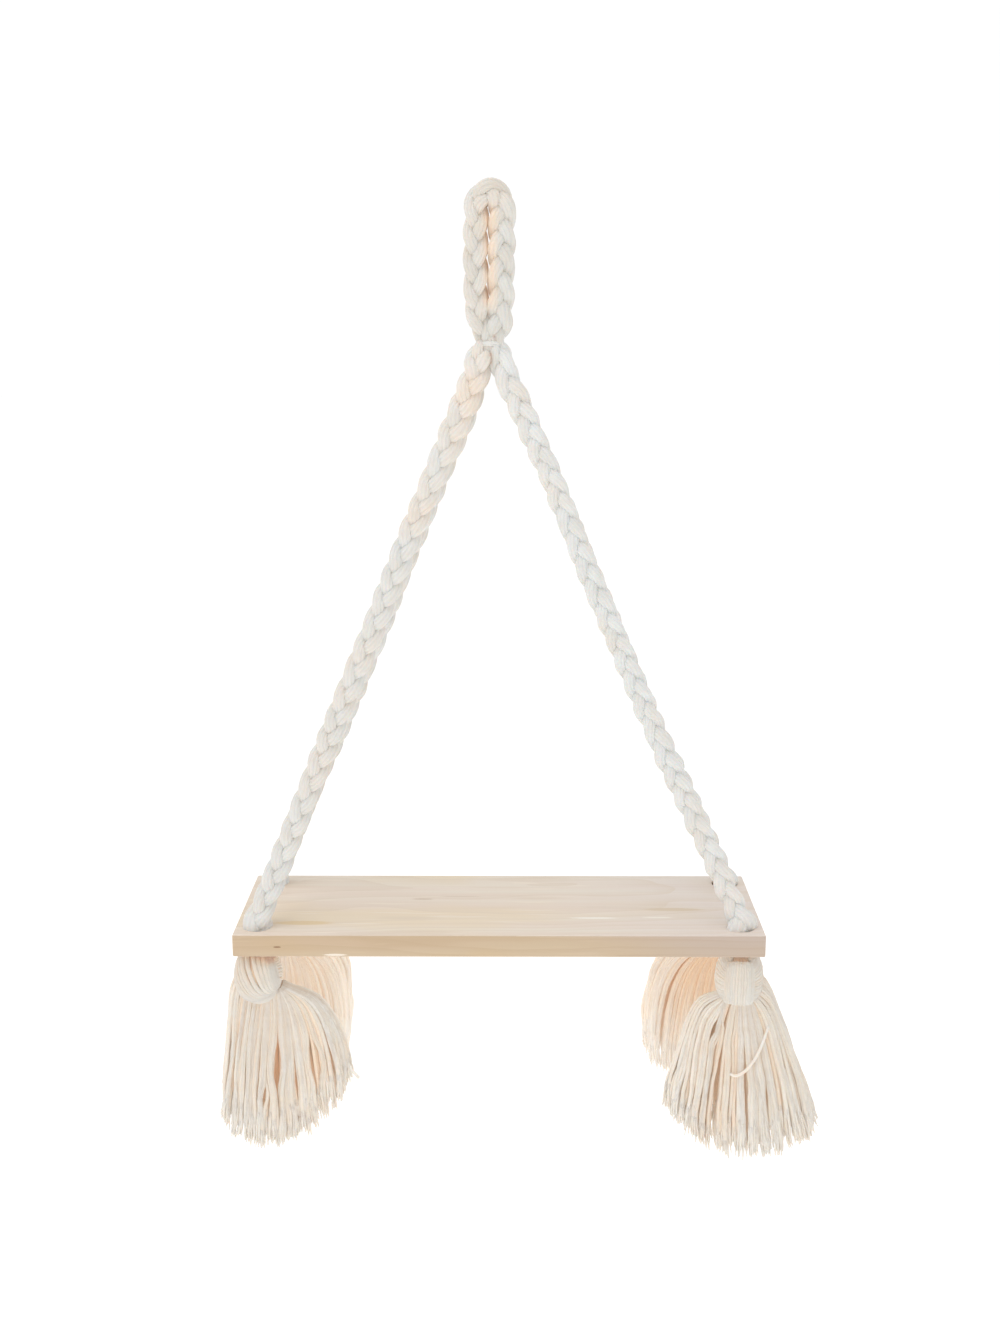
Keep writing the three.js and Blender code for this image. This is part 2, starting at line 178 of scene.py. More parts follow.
@dataclass(frozen=True)
class Wave:
    """A slow random wave: how far it reaches to either side, and about how long one wave is."""

    size: float
    period: float

    def along(self, rng: np.random.Generator, places: Points) -> Points:
        """Gives the height of a new wave of this kind at each place."""
        return self.size * drift(rng, places, self.period)


def sweep(path: Points, toward: Points, section: Points) -> Points:
    """Places a cross-section at each point of a path.

    Args:
        path: The path's points.
        toward: The way that the section's second axis leans, one direction or one for each point.
        section: Flat points, as (sides, 2), or as (points, sides, 2) where they change along the path.

    Returns:
        Rings of points, as (points, sides, 3), anticlockwise about the path.
    """
    tangent = unit(np.gradient(path, axis=0))
    lean = np.broadcast_to(toward, path.shape)
    second = unit(lean - (lean * tangent).sum(1, keepdims=True) * tangent)
    first = np.cross(second, tangent)
    return path[:, None] + section[..., 0:1] * first[:, None] + section[..., 1:2] * second[:, None]


def round_section(radius: Points | float, sides: int) -> Points:
    """Gives a round cross-section.

    Args:
        radius: One radius, or one at each point of a path.
        sides: How many corners it has.

    Returns:
        The cross-section, as (sides, 2) or (points, sides, 2).
    """
    angle = FULL_TURN * np.arange(sides) / sides
    circle = np.stack([np.cos(angle), np.sin(angle)], axis=-1)
    return np.asarray(radius, float)[..., None, None] * circle


def lobed_section(lobes: int, points_per_lobe: int, turn: Points, crease: float) -> Points:
    """Gives the outline of a bundle of yarns, at each point of a path.

    Args:
        lobes: How many yarns show round the bundle.
        points_per_lobe: Points on each yarn.
        turn: How far the bundle has turned at each point of the path, in radians.
        crease: How far the yarns' middles stand from the bundle's middle, as a share of its radius.

    Returns:
        Outlines with a radius of 1, as (points, sides, 2).
    """
    step = np.arange(lobes * points_per_lobe)
    within = (step % points_per_lobe / points_per_lobe - 0.5) * FULL_TURN / lobes
    bulge = np.sqrt((1 - crease) ** 2 - (crease * np.sin(within)) ** 2)
    radius = crease * np.cos(within) + bulge
    angle = FULL_TURN * step / len(step) + np.asarray(turn)[:, None]
    return radius[None, :, None] * np.stack([np.cos(angle), np.sin(angle)], axis=-1)


class MeshDraft:
    """Collects tubes and turns them into one mesh, with the marks that its finish reads."""

    def __init__(self) -> None:
        """Starts with no points and no faces."""
        self.points: list[Points] = []
        self.corners: list[Points] = []
        self.face_sizes: list[Points] = []
        self.yarn_map: list[Points] = []
        self.tones: list[Points] = []
        self.warmths: list[Points] = []
        self.count = 0

    def add_tube(
        self, rings: Points, yarns: int = 1, tone: Points | float = 0.0, warmth: Points | float = 0.0
    ) -> None:
        """Adds a tube that is closed at both ends.

        Args:
            rings: The tube's rings, as (rings, sides, 3), anticlockwise about its run.
            yarns: How many yarns lie side by side round it.
            tone: How shaded it is, as one number, or one for each ring or point: random tone and painted
                shade.
            warmth: How warm its colour is, given in the same ways: a warm tint, mostly painted warm glow.
        """
        count, sides = rings.shape[:2]
        along = arc_lengths(rings.mean(axis=1))
        ring, side = (grid.ravel() for grid in np.mgrid[0 : count - 1, 0:sides])
        after = (side + 1) % sides
        low, high = ring * sides, (ring + 1) * sides
        quads = np.stack([low + side, low + after, high + after, high + side], axis=1)
        u = np.stack([side, side + 1, side + 1, side], axis=1) * (yarns / sides)
        v = along[np.stack([ring, ring, ring + 1, ring + 1], axis=1)]
        rim = np.arange(sides)
        next_rim = (rim + 1) % sides
        last = (count - 1) * sides
        first_centre = np.full(sides, count * sides)
        start_fan = np.stack([first_centre, next_rim, rim], axis=1)
        end_fan = np.stack([first_centre + 1, last + rim, last + next_rim], axis=1)
        fan_u = np.tile((rim * yarns / sides)[:, None], (1, 3))
        centres = rings[[0, -1]].mean(axis=1)
        self.points.append(np.vstack([rings.reshape(-1, 3), centres]))
        faces = [quads.ravel(), start_fan.ravel(), end_fan.ravel()]
        self.corners.append(np.concatenate(faces) + self.count)
        self.face_sizes.append(np.array([4] * len(quads) + [3] * (2 * sides)))
        places = [(u, v), *((fan_u, np.full((sides, 3), end)) for end in along[[0, -1]])]
        self.yarn_map.append(np.vstack([np.stack(place, axis=-1).reshape(-1, 2) for place in places]))
        for marks, value in ((self.tones, tone), (self.warmths, warmth)):
            value = np.asarray(value, float)
            value = value[:, None] if value.ndim == 1 else value
            spread = np.broadcast_to(value, (count, sides))
            marks.append(np.concatenate([spread.ravel(), spread[[0, -1], 0]]))
        self.count += count * sides + 2

    def build(self, name: str) -> bpy.types.Object:
        """Makes the object, in metres, and links it to the scene.

        Args:
            name: The object's name.

        Returns:
            The new mesh object.
        """
        points = np.concatenate(self.points) * MM
        corners = np.concatenate(self.corners)
        sizes = np.concatenate(self.face_sizes)
        mesh = bpy.data.meshes.new(name)
        mesh.vertices.add(len(points))
        mesh.vertices.foreach_set("co", points.ravel())
        mesh.loops.add(len(corners))
        mesh.loops.foreach_set("vertex_index", corners.astype(np.int32))
        mesh.polygons.add(len(sizes))
        starts = np.concatenate([[0], np.cumsum(sizes)[:-1]])
        mesh.polygons.foreach_set("loop_start", starts.astype(np.int32))
        mesh.polygons.foreach_set("use_smooth", np.ones(len(sizes), bool))
        mesh.update(calc_edges=True)
        layer = mesh.uv_layers.new(name="yarn_map")
        layer.data.foreach_set("uv", np.concatenate(self.yarn_map).ravel())
        for mark, values in (("tone", self.tones), ("warmth", self.warmths)):
            attribute = mesh.attributes.new(mark, "FLOAT", "POINT")
            attribute.data.foreach_set("value", np.concatenate(values).astype(np.float32))
        piece = bpy.data.objects.new(name, mesh)
        bpy.context.scene.collection.objects.link(piece)
        return piece


class ShaderDraft:
    """Places and joins the nodes of one tree."""

    def __init__(self, tree: bpy.types.NodeTree) -> None:
        """Keeps the tree that the nodes go into."""
        self.tree = tree

    @classmethod
    def of(cls, owner: bpy.types.Material | bpy.types.World) -> "ShaderDraft":
        """Starts the nodes of a new material or surround.

        Args:
            owner: The material or surround.

        Returns:
            Its draft, with no nodes yet.
        """
        owner.use_nodes = True
        owner.node_tree.nodes.clear()
        return cls(owner.node_tree)

    def node(self, kind: str, inputs: dict[str | int, Any] | None = None, **settings: Any) -> bpy.types.Node:
        """Adds a node.

        Args:
            kind: The node's type.
            inputs: For each input socket, the socket that feeds it or its own value.
            **settings: The node's other settings.

        Returns:
            The new node.
        """
        node = self.tree.nodes.new(kind)
        for name, value in settings.items():
            setattr(node, name, value)
        for key, value in (inputs or {}).items():
            if isinstance(value, bpy.types.NodeSocket):
                self.tree.links.new(value, node.inputs[key])
            else:
                node.inputs[key].default_value = value
        return node

    def sum_up(self, operation: str, *values: Any, clamp: bool = False) -> bpy.types.NodeSocket:
        """Adds a Math node.

        Args:
            operation: What the node does.
            *values: Sockets or numbers for its inputs.
            clamp: Whether the result is kept from 0 to 1.

        Returns:
            The result's socket.
        """
        node = self.node("ShaderNodeMath", dict(enumerate(values)), operation=operation)
        node.use_clamp = clamp
        return node.outputs[0]

    def ease(self, value: Any, low: float, high: float) -> bpy.types.NodeSocket:
        """Adds a smooth step.

        Args:
            value: The socket or number to ease.
            low: Where the result is 0.
            high: Where the result is 1.

        Returns:
            The result's socket.
        """
        settings = {"Value": value, "From Min": low, "From Max": high}
        node = self.node("ShaderNodeMapRange", settings, interpolation_type="SMOOTHSTEP")
        return node.outputs[0]

    def blend(self, share: Any, first: Any, second: Any) -> bpy.types.NodeSocket:
        """Adds a colour mix, and gives its socket."""
        node = self.node("ShaderNodeMix", {0: share, 6: first, 7: second}, data_type="RGBA")
        return node.outputs[2]

    def noise(self, place: Any, scale: float, detail: float = 2.0) -> bpy.types.NodeSocket:
        """Adds a noise texture, and gives the socket of its height."""
        node = self.node("ShaderNodeTexNoise", {"Vector": place, "Scale": scale, "Detail": detail})
        return node.outputs["Fac"]

    def vector(self, operation: str, *values: Any) -> bpy.types.Node:
        """Adds a Vector Math node."""
        return self.node("ShaderNodeVectorMath", dict(enumerate(values)), operation=operation)

    def stretched(self, place: Any, scale: tuple[float, float, float]) -> bpy.types.NodeSocket:
        """Adds a stretch of a place along its axes, and gives its socket."""
        return self.vector("MULTIPLY", place, scale).outputs[0]

    def place(self) -> bpy.types.NodeSocket:
        """Gives the socket of the place on the piece, in metres."""
        return self.node("ShaderNodeTexCoord").outputs["Object"]

    def bump(self, height: Any, strength: float, distance: float) -> bpy.types.NodeSocket:
        """Adds a relief, and gives the socket of its normal."""
        raised = {"Height": height, "Strength": strength, "Distance": distance}
        return self.node("ShaderNodeBump", raised).outputs["Normal"]

    def finish(self, surface: dict[str, Any]) -> None:
        """Adds the surface with its inputs, and joins it to the material's output."""
        shader = self.node("ShaderNodeBsdfPrincipled", surface)
        self.node("ShaderNodeOutputMaterial", {"Surface": shader.outputs[0]})


def linear(red: float, green: float, blue: float) -> tuple[float, float, float, float]:
    """Turns a colour as it is seen on a screen, from 0 to 255, into the shader's own numbers."""
    return tuple(((c / 255 + 0.055) / 1.055) ** 2.4 for c in (red, green, blue)) + (1.0,)


class EffectGroups:
    """The shader effects that more than one material or mark uses, each made once."""

    @staticmethod
    def start(
        name: str, inputs: dict[str, str], outputs: dict[str, str]
    ) -> tuple[ShaderDraft, bpy.types.Node, bpy.types.Node]:
        """Starts a node group.

        Args:
            name: The group's name.
            inputs: The type of each input socket.
            outputs: The type of each output socket.

        Returns:
            The group's draft, its input node and its output node.
        """
        tree = bpy.data.node_groups.new(name, "ShaderNodeTree")
        for socket, kind in inputs.items():
            tree.interface.new_socket(socket, in_out="INPUT", socket_type=kind)
        for socket, kind in outputs.items():
            tree.interface.new_socket(socket, in_out="OUTPUT", socket_type=kind)
        draft = ShaderDraft(tree)
        return draft, draft.node("NodeGroupInput"), draft.node("NodeGroupOutput")

    @classmethod
    @cache
    def cotton_tint(cls) -> bpy.types.NodeTree:
        """Colours undyed cotton: mottled, shaded by its tone mark, which holds random tone and painted shade,
        and warm where its warmth mark is high.

        The warmth is mostly a painted warm glow. A tone above 1 paints yarn deep in a hollow with the dark
        colour of painted shade.

        Returns:
            The node group.
        """
        colours = {name: "NodeSocketColor" for name in ("Light", "Shade", "Warm", "HollowShade")}
        inputs = {"Tone": "NodeSocketFloat", "Warmth": "NodeSocketFloat", **colours}
        draft, given, result = cls.start("cotton_tint", inputs, {"Color": "NodeSocketColor"})
        place = draft.place()
        mottle_share, patch_share = 0.35, 0.12
        mottle = draft.ease(draft.noise(place, scale=90.0, detail=3.0), low=0.3, high=0.75)
        shade = draft.sum_up("MULTIPLY_ADD", mottle, mottle_share, given.outputs["Tone"], clamp=True)
        plain = draft.blend(shade, given.outputs["Light"], given.outputs["Shade"])
        patch = draft.ease(draft.noise(place, scale=22.0), low=0.42, high=0.72)
        warmth = draft.sum_up("MULTIPLY_ADD", patch, patch_share, given.outputs["Warmth"], clamp=True)
        warmed = draft.blend(warmth, plain, given.outputs["Warm"])
        # Painted shade: a tone above 1 blends in the dark colour of yarn deep in a hollow.
        depth = draft.sum_up("SUBTRACT", given.outputs["Tone"], 1.0, clamp=True)
        colour = draft.blend(depth, warmed, given.outputs["HollowShade"])
        draft.tree.links.new(colour, result.inputs["Color"])
        return draft.tree

    @classmethod
    @cache
    def yarn_relief(cls) -> bpy.types.NodeTree:
        """Raises the twist of each yarn and the loose fibres on it.

        Returns:
            The node group.
        """
        inputs = {"Plies": "NodeSocketFloat", "Pitch": "NodeSocketFloat"}
        draft, given, result = cls.start("yarn_relief", inputs, {"Height": "NodeSocketFloat"})
        yarn_map = draft.node("ShaderNodeUVMap", uv_map="yarn_map").outputs["UV"]
        sides = draft.node("ShaderNodeSeparateXYZ", {0: yarn_map}).outputs
        along = draft.sum_up("DIVIDE", sides["Y"], given.outputs["Pitch"])
        turn = draft.sum_up("MULTIPLY_ADD", sides["X"], given.outputs["Plies"], along)
        wave = draft.sum_up("SINE", draft.sum_up("MULTIPLY", turn, FULL_TURN))
        ply_share, fibre_share = 0.3, 0.7
        ply = draft.sum_up("MULTIPLY_ADD", wave, ply_share, ply_share)
        fibres = draft.noise(draft.stretched(draft.place(), (1.0, 1.0, 0.35)), scale=2600.0, detail=3.0)
        height = draft.sum_up("MULTIPLY_ADD", fibres, fibre_share, ply)
        draft.tree.links.new(height, result.inputs["Height"])
        return draft.tree

    @classmethod
    @cache
    def spot(cls) -> bpy.types.NodeTree:
        """Masks one oval spot with a soft, uneven rim.

        Returns:
            The node group.
        """
        inputs = {"Middle": "NodeSocketVector", "Reach": "NodeSocketVector"}
        draft, given, result = cls.start("spot", inputs, {"Mask": "NodeSocketFloat"})
        place = draft.place()
        aside = draft.vector("SUBTRACT", place, given.outputs["Middle"]).outputs[0]
        scaled = draft.vector("DIVIDE", aside, given.outputs["Reach"]).outputs[0]
        distance = draft.vector("LENGTH", scaled).outputs["Value"]
        unevenness = 0.5
        uneven = draft.sum_up("MULTIPLY_ADD", draft.noise(place, scale=900.0), unevenness, distance)
        mask = draft.sum_up("SUBTRACT", 1.0, draft.ease(uneven, low=0.85, high=1.3))
        draft.tree.links.new(mask, result.inputs["Mask"])
        return draft.tree


@dataclass(frozen=True)
class CottonFinish:
    """Undyed cotton: matt, softly lit at its edges, with the twist of its yarns raised and a painted glow in
    its own colour.
    """

    name: str
    # Light and shade are the colours of lit and shaded yarn, which the tone mark mixes for random tone and
    # painted shade alike. Warm is what the warmth mark blends in, mostly a painted warm glow. Hollow is the
    # colour of painted shade deep in hollows.
    light: Colour = (241, 237, 230)
    shade: Colour = (231, 222, 210)
    warm: Colour = (246, 208, 170)
    hollow: Colour = (178, 140, 112)
    plies: float = 3.0
    pitch: float = 5.5
    relief: float = 0.55
    roughness: float = 0.93
    sheen: float = 0.2
    scatter: float = 0.3
    # Painted glow: the cotton gives off light in its own colour, soft_glow everywhere and warm_glow more
    # where the warmth mark is high.
    soft_glow: float = 0.04
    warm_glow: float = 0.1
    relief_height: float = 0.0005

    def material(self) -> bpy.types.Material:
        """Makes the material.

        Returns:
            The cotton material.
        """
        material = bpy.data.materials.new(self.name)
        draft = ShaderDraft.of(material)
        tone = draft.node("ShaderNodeAttribute", attribute_name="tone").outputs["Fac"]
        warmth = draft.node("ShaderNodeAttribute", attribute_name="warmth").outputs["Fac"]
        look = {
            "Tone": tone,
            "Warmth": warmth,
            "Light": linear(*self.light),
            "Shade": linear(*self.shade),
            "Warm": linear(*self.warm),
            "HollowShade": linear(*self.hollow),
        }
        tint = draft.node("ShaderNodeGroup", look, node_tree=EffectGroups.cotton_tint())
        twist = {"Plies": self.plies, "Pitch": self.pitch}
        relief = draft.node("ShaderNodeGroup", twist, node_tree=EffectGroups.yarn_relief())
        surface = {
            "Base Color": tint.outputs["Color"],
            # Painted glow: the cotton gives off light in its own colour, though it is no lamp.
            "Emission Color": tint.outputs["Color"],
            "Emission Strength": draft.sum_up("MULTIPLY_ADD", warmth, self.warm_glow, self.soft_glow),
            "Roughness": self.roughness,
            "Sheen Weight": self.sheen,
            "Sheen Roughness": 0.6,
            "Subsurface Weight": self.scatter,
            "Subsurface Radius": (1.0, 0.7, 0.5),
            "Subsurface Scale": 0.0025,
            "Specular IOR Level": 0.2,
            "Normal": draft.bump(relief.outputs["Height"], self.relief, self.relief_height),
        }
        draft.finish(surface)
        return material


@dataclass(frozen=True)
class Streaks:
    """Long marks that run with the grain: how close they lie along each axis, and the colour they add."""

    density: tuple[float, float, float]
    low: float
    high: float
    tint: Colour
    share: float = 1.0
    detail: float = 2.0

    def lay(self, draft: ShaderDraft, place: Any, colour: Any) -> bpy.types.NodeSocket:
        """Lays the marks over a colour.

        Args:
            draft: The material's nodes.
            place: The socket of the place on the board.
            colour: The colour below, as a socket or as its value.

        Returns:
            The socket of the new colour.
        """
        noise = draft.noise(draft.stretched(place, self.density), scale=1.0, detail=self.detail)
        mask = draft.sum_up("MULTIPLY", draft.ease(noise, self.low, self.high), self.share)
        return draft.blend(mask, colour, linear(*self.tint))


@dataclass(frozen=True)
class Flaw:
    """One small mark on the board: its middle and reach in metres, its colour and how strong it is."""

    middle: tuple[float, float, float]
    reach: tuple[float, float, float]
    tint: Colour
    share: float = 1.0

    def lay(self, draft: ShaderDraft, colour: Any) -> bpy.types.NodeSocket:
        """Lays the mark over a colour.

        Args:
            draft: The material's nodes.
            colour: The colour below, as a socket.

        Returns:
            The socket of the new colour.
        """
        inputs = {"Middle": self.middle, "Reach": self.reach}
        spot = draft.node("ShaderNodeGroup", inputs, node_tree=EffectGroups.spot())
        share = draft.sum_up("MULTIPLY", spot.outputs["Mask"], self.share)
        return draft.blend(share, colour, linear(*self.tint))


DEEP_WOOD: Colour = (228, 211, 191)
ROSY_WOOD: Colour = (241, 225, 211)
STRAW_WOOD: Colour = (243, 224, 190)
SPLIT_WOOD: Colour = (250, 238, 222)

STREAKS = (
    Streaks((3.0, 60.0, 60.0), 0.35, 0.7, ROSY_WOOD),
    Streaks((7.0, 16.0, 30.0), 0.46, 0.66, STRAW_WOOD, share=0.6),
    Streaks((9.0, 70.0, 70.0), 0.55, 0.72, DEEP_WOOD, share=0.5, detail=1.0),
    Streaks((17.0, 260.0, 260.0), 0.62, 0.72, SPLIT_WOOD, share=0.75, detail=1.0),
)

# A dark knot and a chip on the front edge, then two pale scratches, two dark streaks and two straw patches
# on the top.
FLAWS = (
    Flaw((-0.1676, -0.07, -0.5708), (0.0034, 0.002, 0.0008), (150, 112, 84), 0.9),
    Flaw((-0.122, -0.07, -0.5772), (0.0105, 0.002, 0.0011), SPLIT_WOOD),
    Flaw((0.083, -0.0312, -0.561), (0.022, 0.0021, 0.002), (255, 250, 241), 0.8),
    Flaw((0.135, -0.030, -0.561), (0.014, 0.0017, 0.002), (255, 248, 236), 0.7),
    Flaw((-0.0566, 0.0117, -0.561), (0.0105, 0.0016, 0.002), (206, 184, 160), 0.75),
    Flaw((-0.0250, 0.0177, -0.561), (0.020, 0.0013, 0.002), (216, 196, 174), 0.5),
    Flaw((-0.1500, -0.0430, -0.561), (0.027, 0.0052, 0.002), (230, 204, 160), 0.75),
    Flaw((0.1500, -0.0120, -0.561), (0.028, 0.0042, 0.002), (219, 198, 166), 0.6),
)


@dataclass(frozen=True)
class WoodFinish:
    """Pale bare softwood: rings seen as long lines on the faces and as arcs on the ends."""

    name: str
    pale: Colour = (243, 233, 219)
    # Colours of the side faces: darker than the top, partly the side grain's own colour and partly painted
    # shade.
    edge: Colour = (224, 212, 193)
    far_edge: Colour = (219, 210, 203)
    ashen: Colour = (236, 229, 230)
    ashen_share: float = 0.5
    ring_width: float = 0.0052
    ring_wander: float = 0.05
    ring_share: float = 0.38
    fibre_share: float = 0.45
    pith_y: float = 0.031
    pith_z: float = -0.69
    roughness: float = 0.47
    fibre_roughness: float = 0.16
    relief: float = 0.25
    relief_height: float = 0.0002

    def rings(self, draft: ShaderDraft, place: Any) -> bpy.types.NodeSocket:
        """Draws the year rings: how far each place lies into its ring, from pale wood to dark.

        Args:
            draft: The material's nodes.
            place: The socket of the place on the board.

        Returns:
            The socket of a number from 0 to 1.
        """
        wander = draft.noise(draft.stretched(place, (2.2, 9.0, 9.0)), scale=1.0, detail=3.0)
        offset = draft.vector("ADD", place, (0.0, -self.pith_y, -self.pith_z)).outputs[0]
        across = draft.stretched(offset, (0.0, 1.0, 1.0))
        radius = draft.vector("LENGTH", across).outputs["Value"]
        grown = draft.sum_up("MULTIPLY_ADD", wander, self.ring_wander, radius)
        turn = draft.sum_up("FRACT", draft.sum_up("DIVIDE", grown, self.ring_width))
        darkening = 2.5
        return draft.sum_up("POWER", turn, darkening)

    def colour(self, draft: ShaderDraft, place: Any, ring: Any, fibre: Any) -> bpy.types.NodeSocket:
        """Mixes the wood's colour: streaked, ashen to the right, darker on the side faces, partly by grain
        and partly by painted shade, and marked.

        Args:
            draft: The material's nodes.
            place: The socket of the place on the board.
            ring: The socket of the year rings.
            fibre: The socket of the fibres.

        Returns:
            The colour's socket.
        """
        fine = draft.sum_up("MULTIPLY", fibre, self.fibre_share)
        depth = draft.sum_up("MULTIPLY_ADD", ring, self.ring_share, fine, clamp=True)
        colour = linear(*self.pale)
        for streaks in STREAKS:
            colour = streaks.lay(draft, place, colour)
        along = draft.node("ShaderNodeSeparateXYZ", {0: place}).outputs["X"]
        rightward = draft.sum_up("MULTIPLY", draft.ease(along, low=0.02, high=0.2), self.ashen_share)
        lighter = draft.blend(rightward, colour, linear(*self.ashen))
        sawn = draft.blend(depth, lighter, linear(*DEEP_WOOD))
        # Side faces are darker than the top and bottom: partly the side grain's colour, partly painted shade.
        normal = draft.node("ShaderNodeTexCoord").outputs["Normal"]
        facing_up = draft.sum_up("ABSOLUTE", draft.node("ShaderNodeSeparateXYZ", {0: normal}).outputs["Z"])
        edge = draft.blend(draft.ease(along, low=0.04, high=0.2), linear(*self.edge), linear(*self.far_edge))
        both = {0: 1.0, 6: sawn, 7: edge}
        edges = draft.node("ShaderNodeMix", both, data_type="RGBA", blend_type="MULTIPLY")
        colour = draft.blend(draft.ease(facing_up, low=0.4, high=0.9), edges.outputs[2], sawn)
        for flaw in FLAWS:
            colour = flaw.lay(draft, colour)
        return colour

    def material(self) -> bpy.types.Material:
        """Makes the material.

        Returns:
            The wood material.
        """
        material = bpy.data.materials.new(self.name)
        draft = ShaderDraft.of(material)
        place = draft.place()
        ring = self.rings(draft, place)
        fibre = draft.noise(draft.stretched(place, (6.0, 420.0, 420.0)), scale=1.0, detail=3.0)
        ring_relief = 0.4
        pores = draft.sum_up("MULTIPLY_ADD", ring, ring_relief, fibre)
        surface = {
            "Base Color": self.colour(draft, place, ring, fibre),
            "Roughness": draft.sum_up("MULTIPLY_ADD", fibre, self.fibre_roughness, self.roughness),
            "Specular IOR Level": 0.35,
            "Normal": draft.bump(pores, self.relief, self.relief_height),
        }
        draft.finish(surface)
        return material


def dress(piece: bpy.types.Object, material: bpy.types.Material, slot: str, body: str, *nodes: str) -> None:
    """Gives a piece its finish and its body, and hides the solids that it stands for.

    Args:
        piece: The piece.
        material: Its material.
        slot: The name of the record's material slot; not used.
        body: The body that it rides on, or an empty name when it rides on none.
        *nodes: The solids that it replaces.
    """
    piece.data.materials.append(material)
    if body:
        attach(piece, body)
    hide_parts(*nodes)
    faces = len(piece.data.polygons)
    LOG.info("%s: %d faces, on %s, for %s", piece.name, faces, body or "two bodies", ", ".join(nodes))


@dataclass
class Studio:
    """Camera at the photograph's view, a bright surround, soft lamps and a plain pale floor."""

    camera_place: tuple[float, float, float] = (0.013, -1.296, -0.074)
    camera_pitch: float = 12.44
    camera_turn: float = 0.24
    lens: float = 44.777
    sensor: float = 36.0
    surround: float = 0.72
    seen_surround: float = 1.02
    aim: tuple[float, float, float] = (0.0, 0.0, -0.45)
    floor_z: float = -0.95
    floor_reach: float = 14.0

    def set_camera(self) -> None:
        """Makes the camera and hands it to the scene."""
        data = bpy.data.cameras.new("photo_camera")
        data.lens = self.lens
        data.sensor_width = self.sensor
        data.sensor_fit = "AUTO"
        camera = bpy.data.objects.new("photo_camera", data)
        camera.location = self.camera_place
        level = 90.0
        camera.rotation_euler = (math.radians(level - self.camera_pitch), 0.0, math.radians(self.camera_turn))
        bpy.context.scene.collection.objects.link(camera)
        bpy.context.scene.camera = camera

    def set_lamp(self, name: str, place: tuple[float, float, float], size: float, power: float) -> None:
        """Adds a soft square lamp that faces the middle of the shelf.

        Args:
            name: The lamp's name.
            place: Where it stands.
            size: The length of its side.
            power: Its power in watts.
        """
        data = bpy.data.lights.new(name, "AREA")
        data.size = size
        data.energy = power
        lamp = bpy.data.objects.new(name, data)
        lamp.location = place
        way = Vector(self.aim) - lamp.location
        lamp.rotation_euler = way.to_track_quat("-Z", "Y").to_euler()
        bpy.context.scene.collection.objects.link(lamp)

    def light(self) -> None:
        """Sets the surround and the lamps."""
        world = bpy.data.worlds.new("bright_surround")
        draft = ShaderDraft.of(world)
        seen = draft.node("ShaderNodeLightPath").outputs["Is Camera Ray"]
        strength = draft.sum_up("MULTIPLY_ADD", seen, self.seen_surround - self.surround, self.surround)
        inputs = {"Color": (1.0, 1.0, 1.0, 1.0), "Strength": strength}
        glow = draft.node("ShaderNodeBackground", inputs)
        draft.node("ShaderNodeOutputWorld", {"Surface": glow.outputs[0]})
        bpy.context.scene.world = world
        self.set_lamp("top_lamp", place=(-0.5, -0.5, 1.5), size=1.6, power=11.0)
        self.set_lamp("front_lamp", place=(-1.1, -1.7, 0.3), size=1.2, power=1.5)
        bpy.context.scene.view_settings.view_transform = "Standard"

    def lay_floor(self) -> None:
        """Lays the plain pale floor well below the tassels."""
        mesh = bpy.data.meshes.new("floor")
        sides = ((-1, -1), (1, -1), (1, 1), (-1, 1))
        corners = [(x * self.floor_reach, y * self.floor_reach, 0.0) for x, y in sides]
        mesh.from_pydata(corners, [], [(0, 1, 2, 3)])
        floor = bpy.data.objects.new("floor", mesh)
        floor.location.z = self.floor_z
        bpy.context.scene.collection.objects.link(floor)
        material = bpy.data.materials.new("floor_paper")
        material.use_nodes = True
        shader = material.node_tree.nodes["Principled BSDF"]
        shader.inputs["Base Color"].default_value = (0.82, 0.81, 0.79, 1.0)
        shader.inputs["Roughness"].default_value = 0.9
        shader.inputs["Emission Color"].default_value = (1.0, 1.0, 1.0, 1.0)
        shader.inputs["Emission Strength"].default_value = 0.52
        mesh.materials.append(material)


@dataclass(frozen=True)
class Corner:
    """One corner of the board, where a rope passes its hole."""

    name: str
    side_x: int
    side_y: int

    @property
    def body(self) -> str:
        """The body that this corner's tassel rides on."""
        return f"{self.name}_tassel"

    @property
    def hole(self) -> Points:
        """The middle of the hole, seen from above."""
        middle = np.array([BOARD_MIDDLE_X, 0.0])
        return middle + np.array([self.side_x, self.side_y]) * HOLE_FROM_MIDDLE

    @property
    def pivot(self) -> Points:
        """The point that the tassel swings about."""
        return np.array([*self.hole, TASSEL_PIVOT_Z])


CORNERS = (
    Corner("front_left", -1, -1),
    Corner("front_right", 1, -1),
    Corner("back_left", -1, 1),
    Corner("back_right", 1, 1),
)


# How each leg bows: shares of the way from the neck to the hole, and how far it hangs inward there.
SLACKS = {
    "front_left": ((0.15, -0.6), (0.3, -1.3), (0.45, -0.5), (0.6, -0.9), (0.85, 0.0)),
    "front_right": ((0.04, -1.1), (0.2, -1.6), (0.35, 0.9), (0.6, 2.8), (0.71, 3.0), (0.8, 1.4), (0.88, 0.6)),
    "back_left": (
        (0.03, 1.5), (0.07, 3.2), (0.2, 2.4), (0.33, 2.2), (0.45, 3.4),
        (0.6, 3.2), (0.7, 2.8), (0.8, 0.8), (0.9, 0.0),
    ),
    "back_right": ((0.04, -1.1), (0.2, -1.4), (0.35, 0.8), (0.6, 3.1), (0.71, 2.9), (0.8, 1.4), (0.88, 0.6)),
}


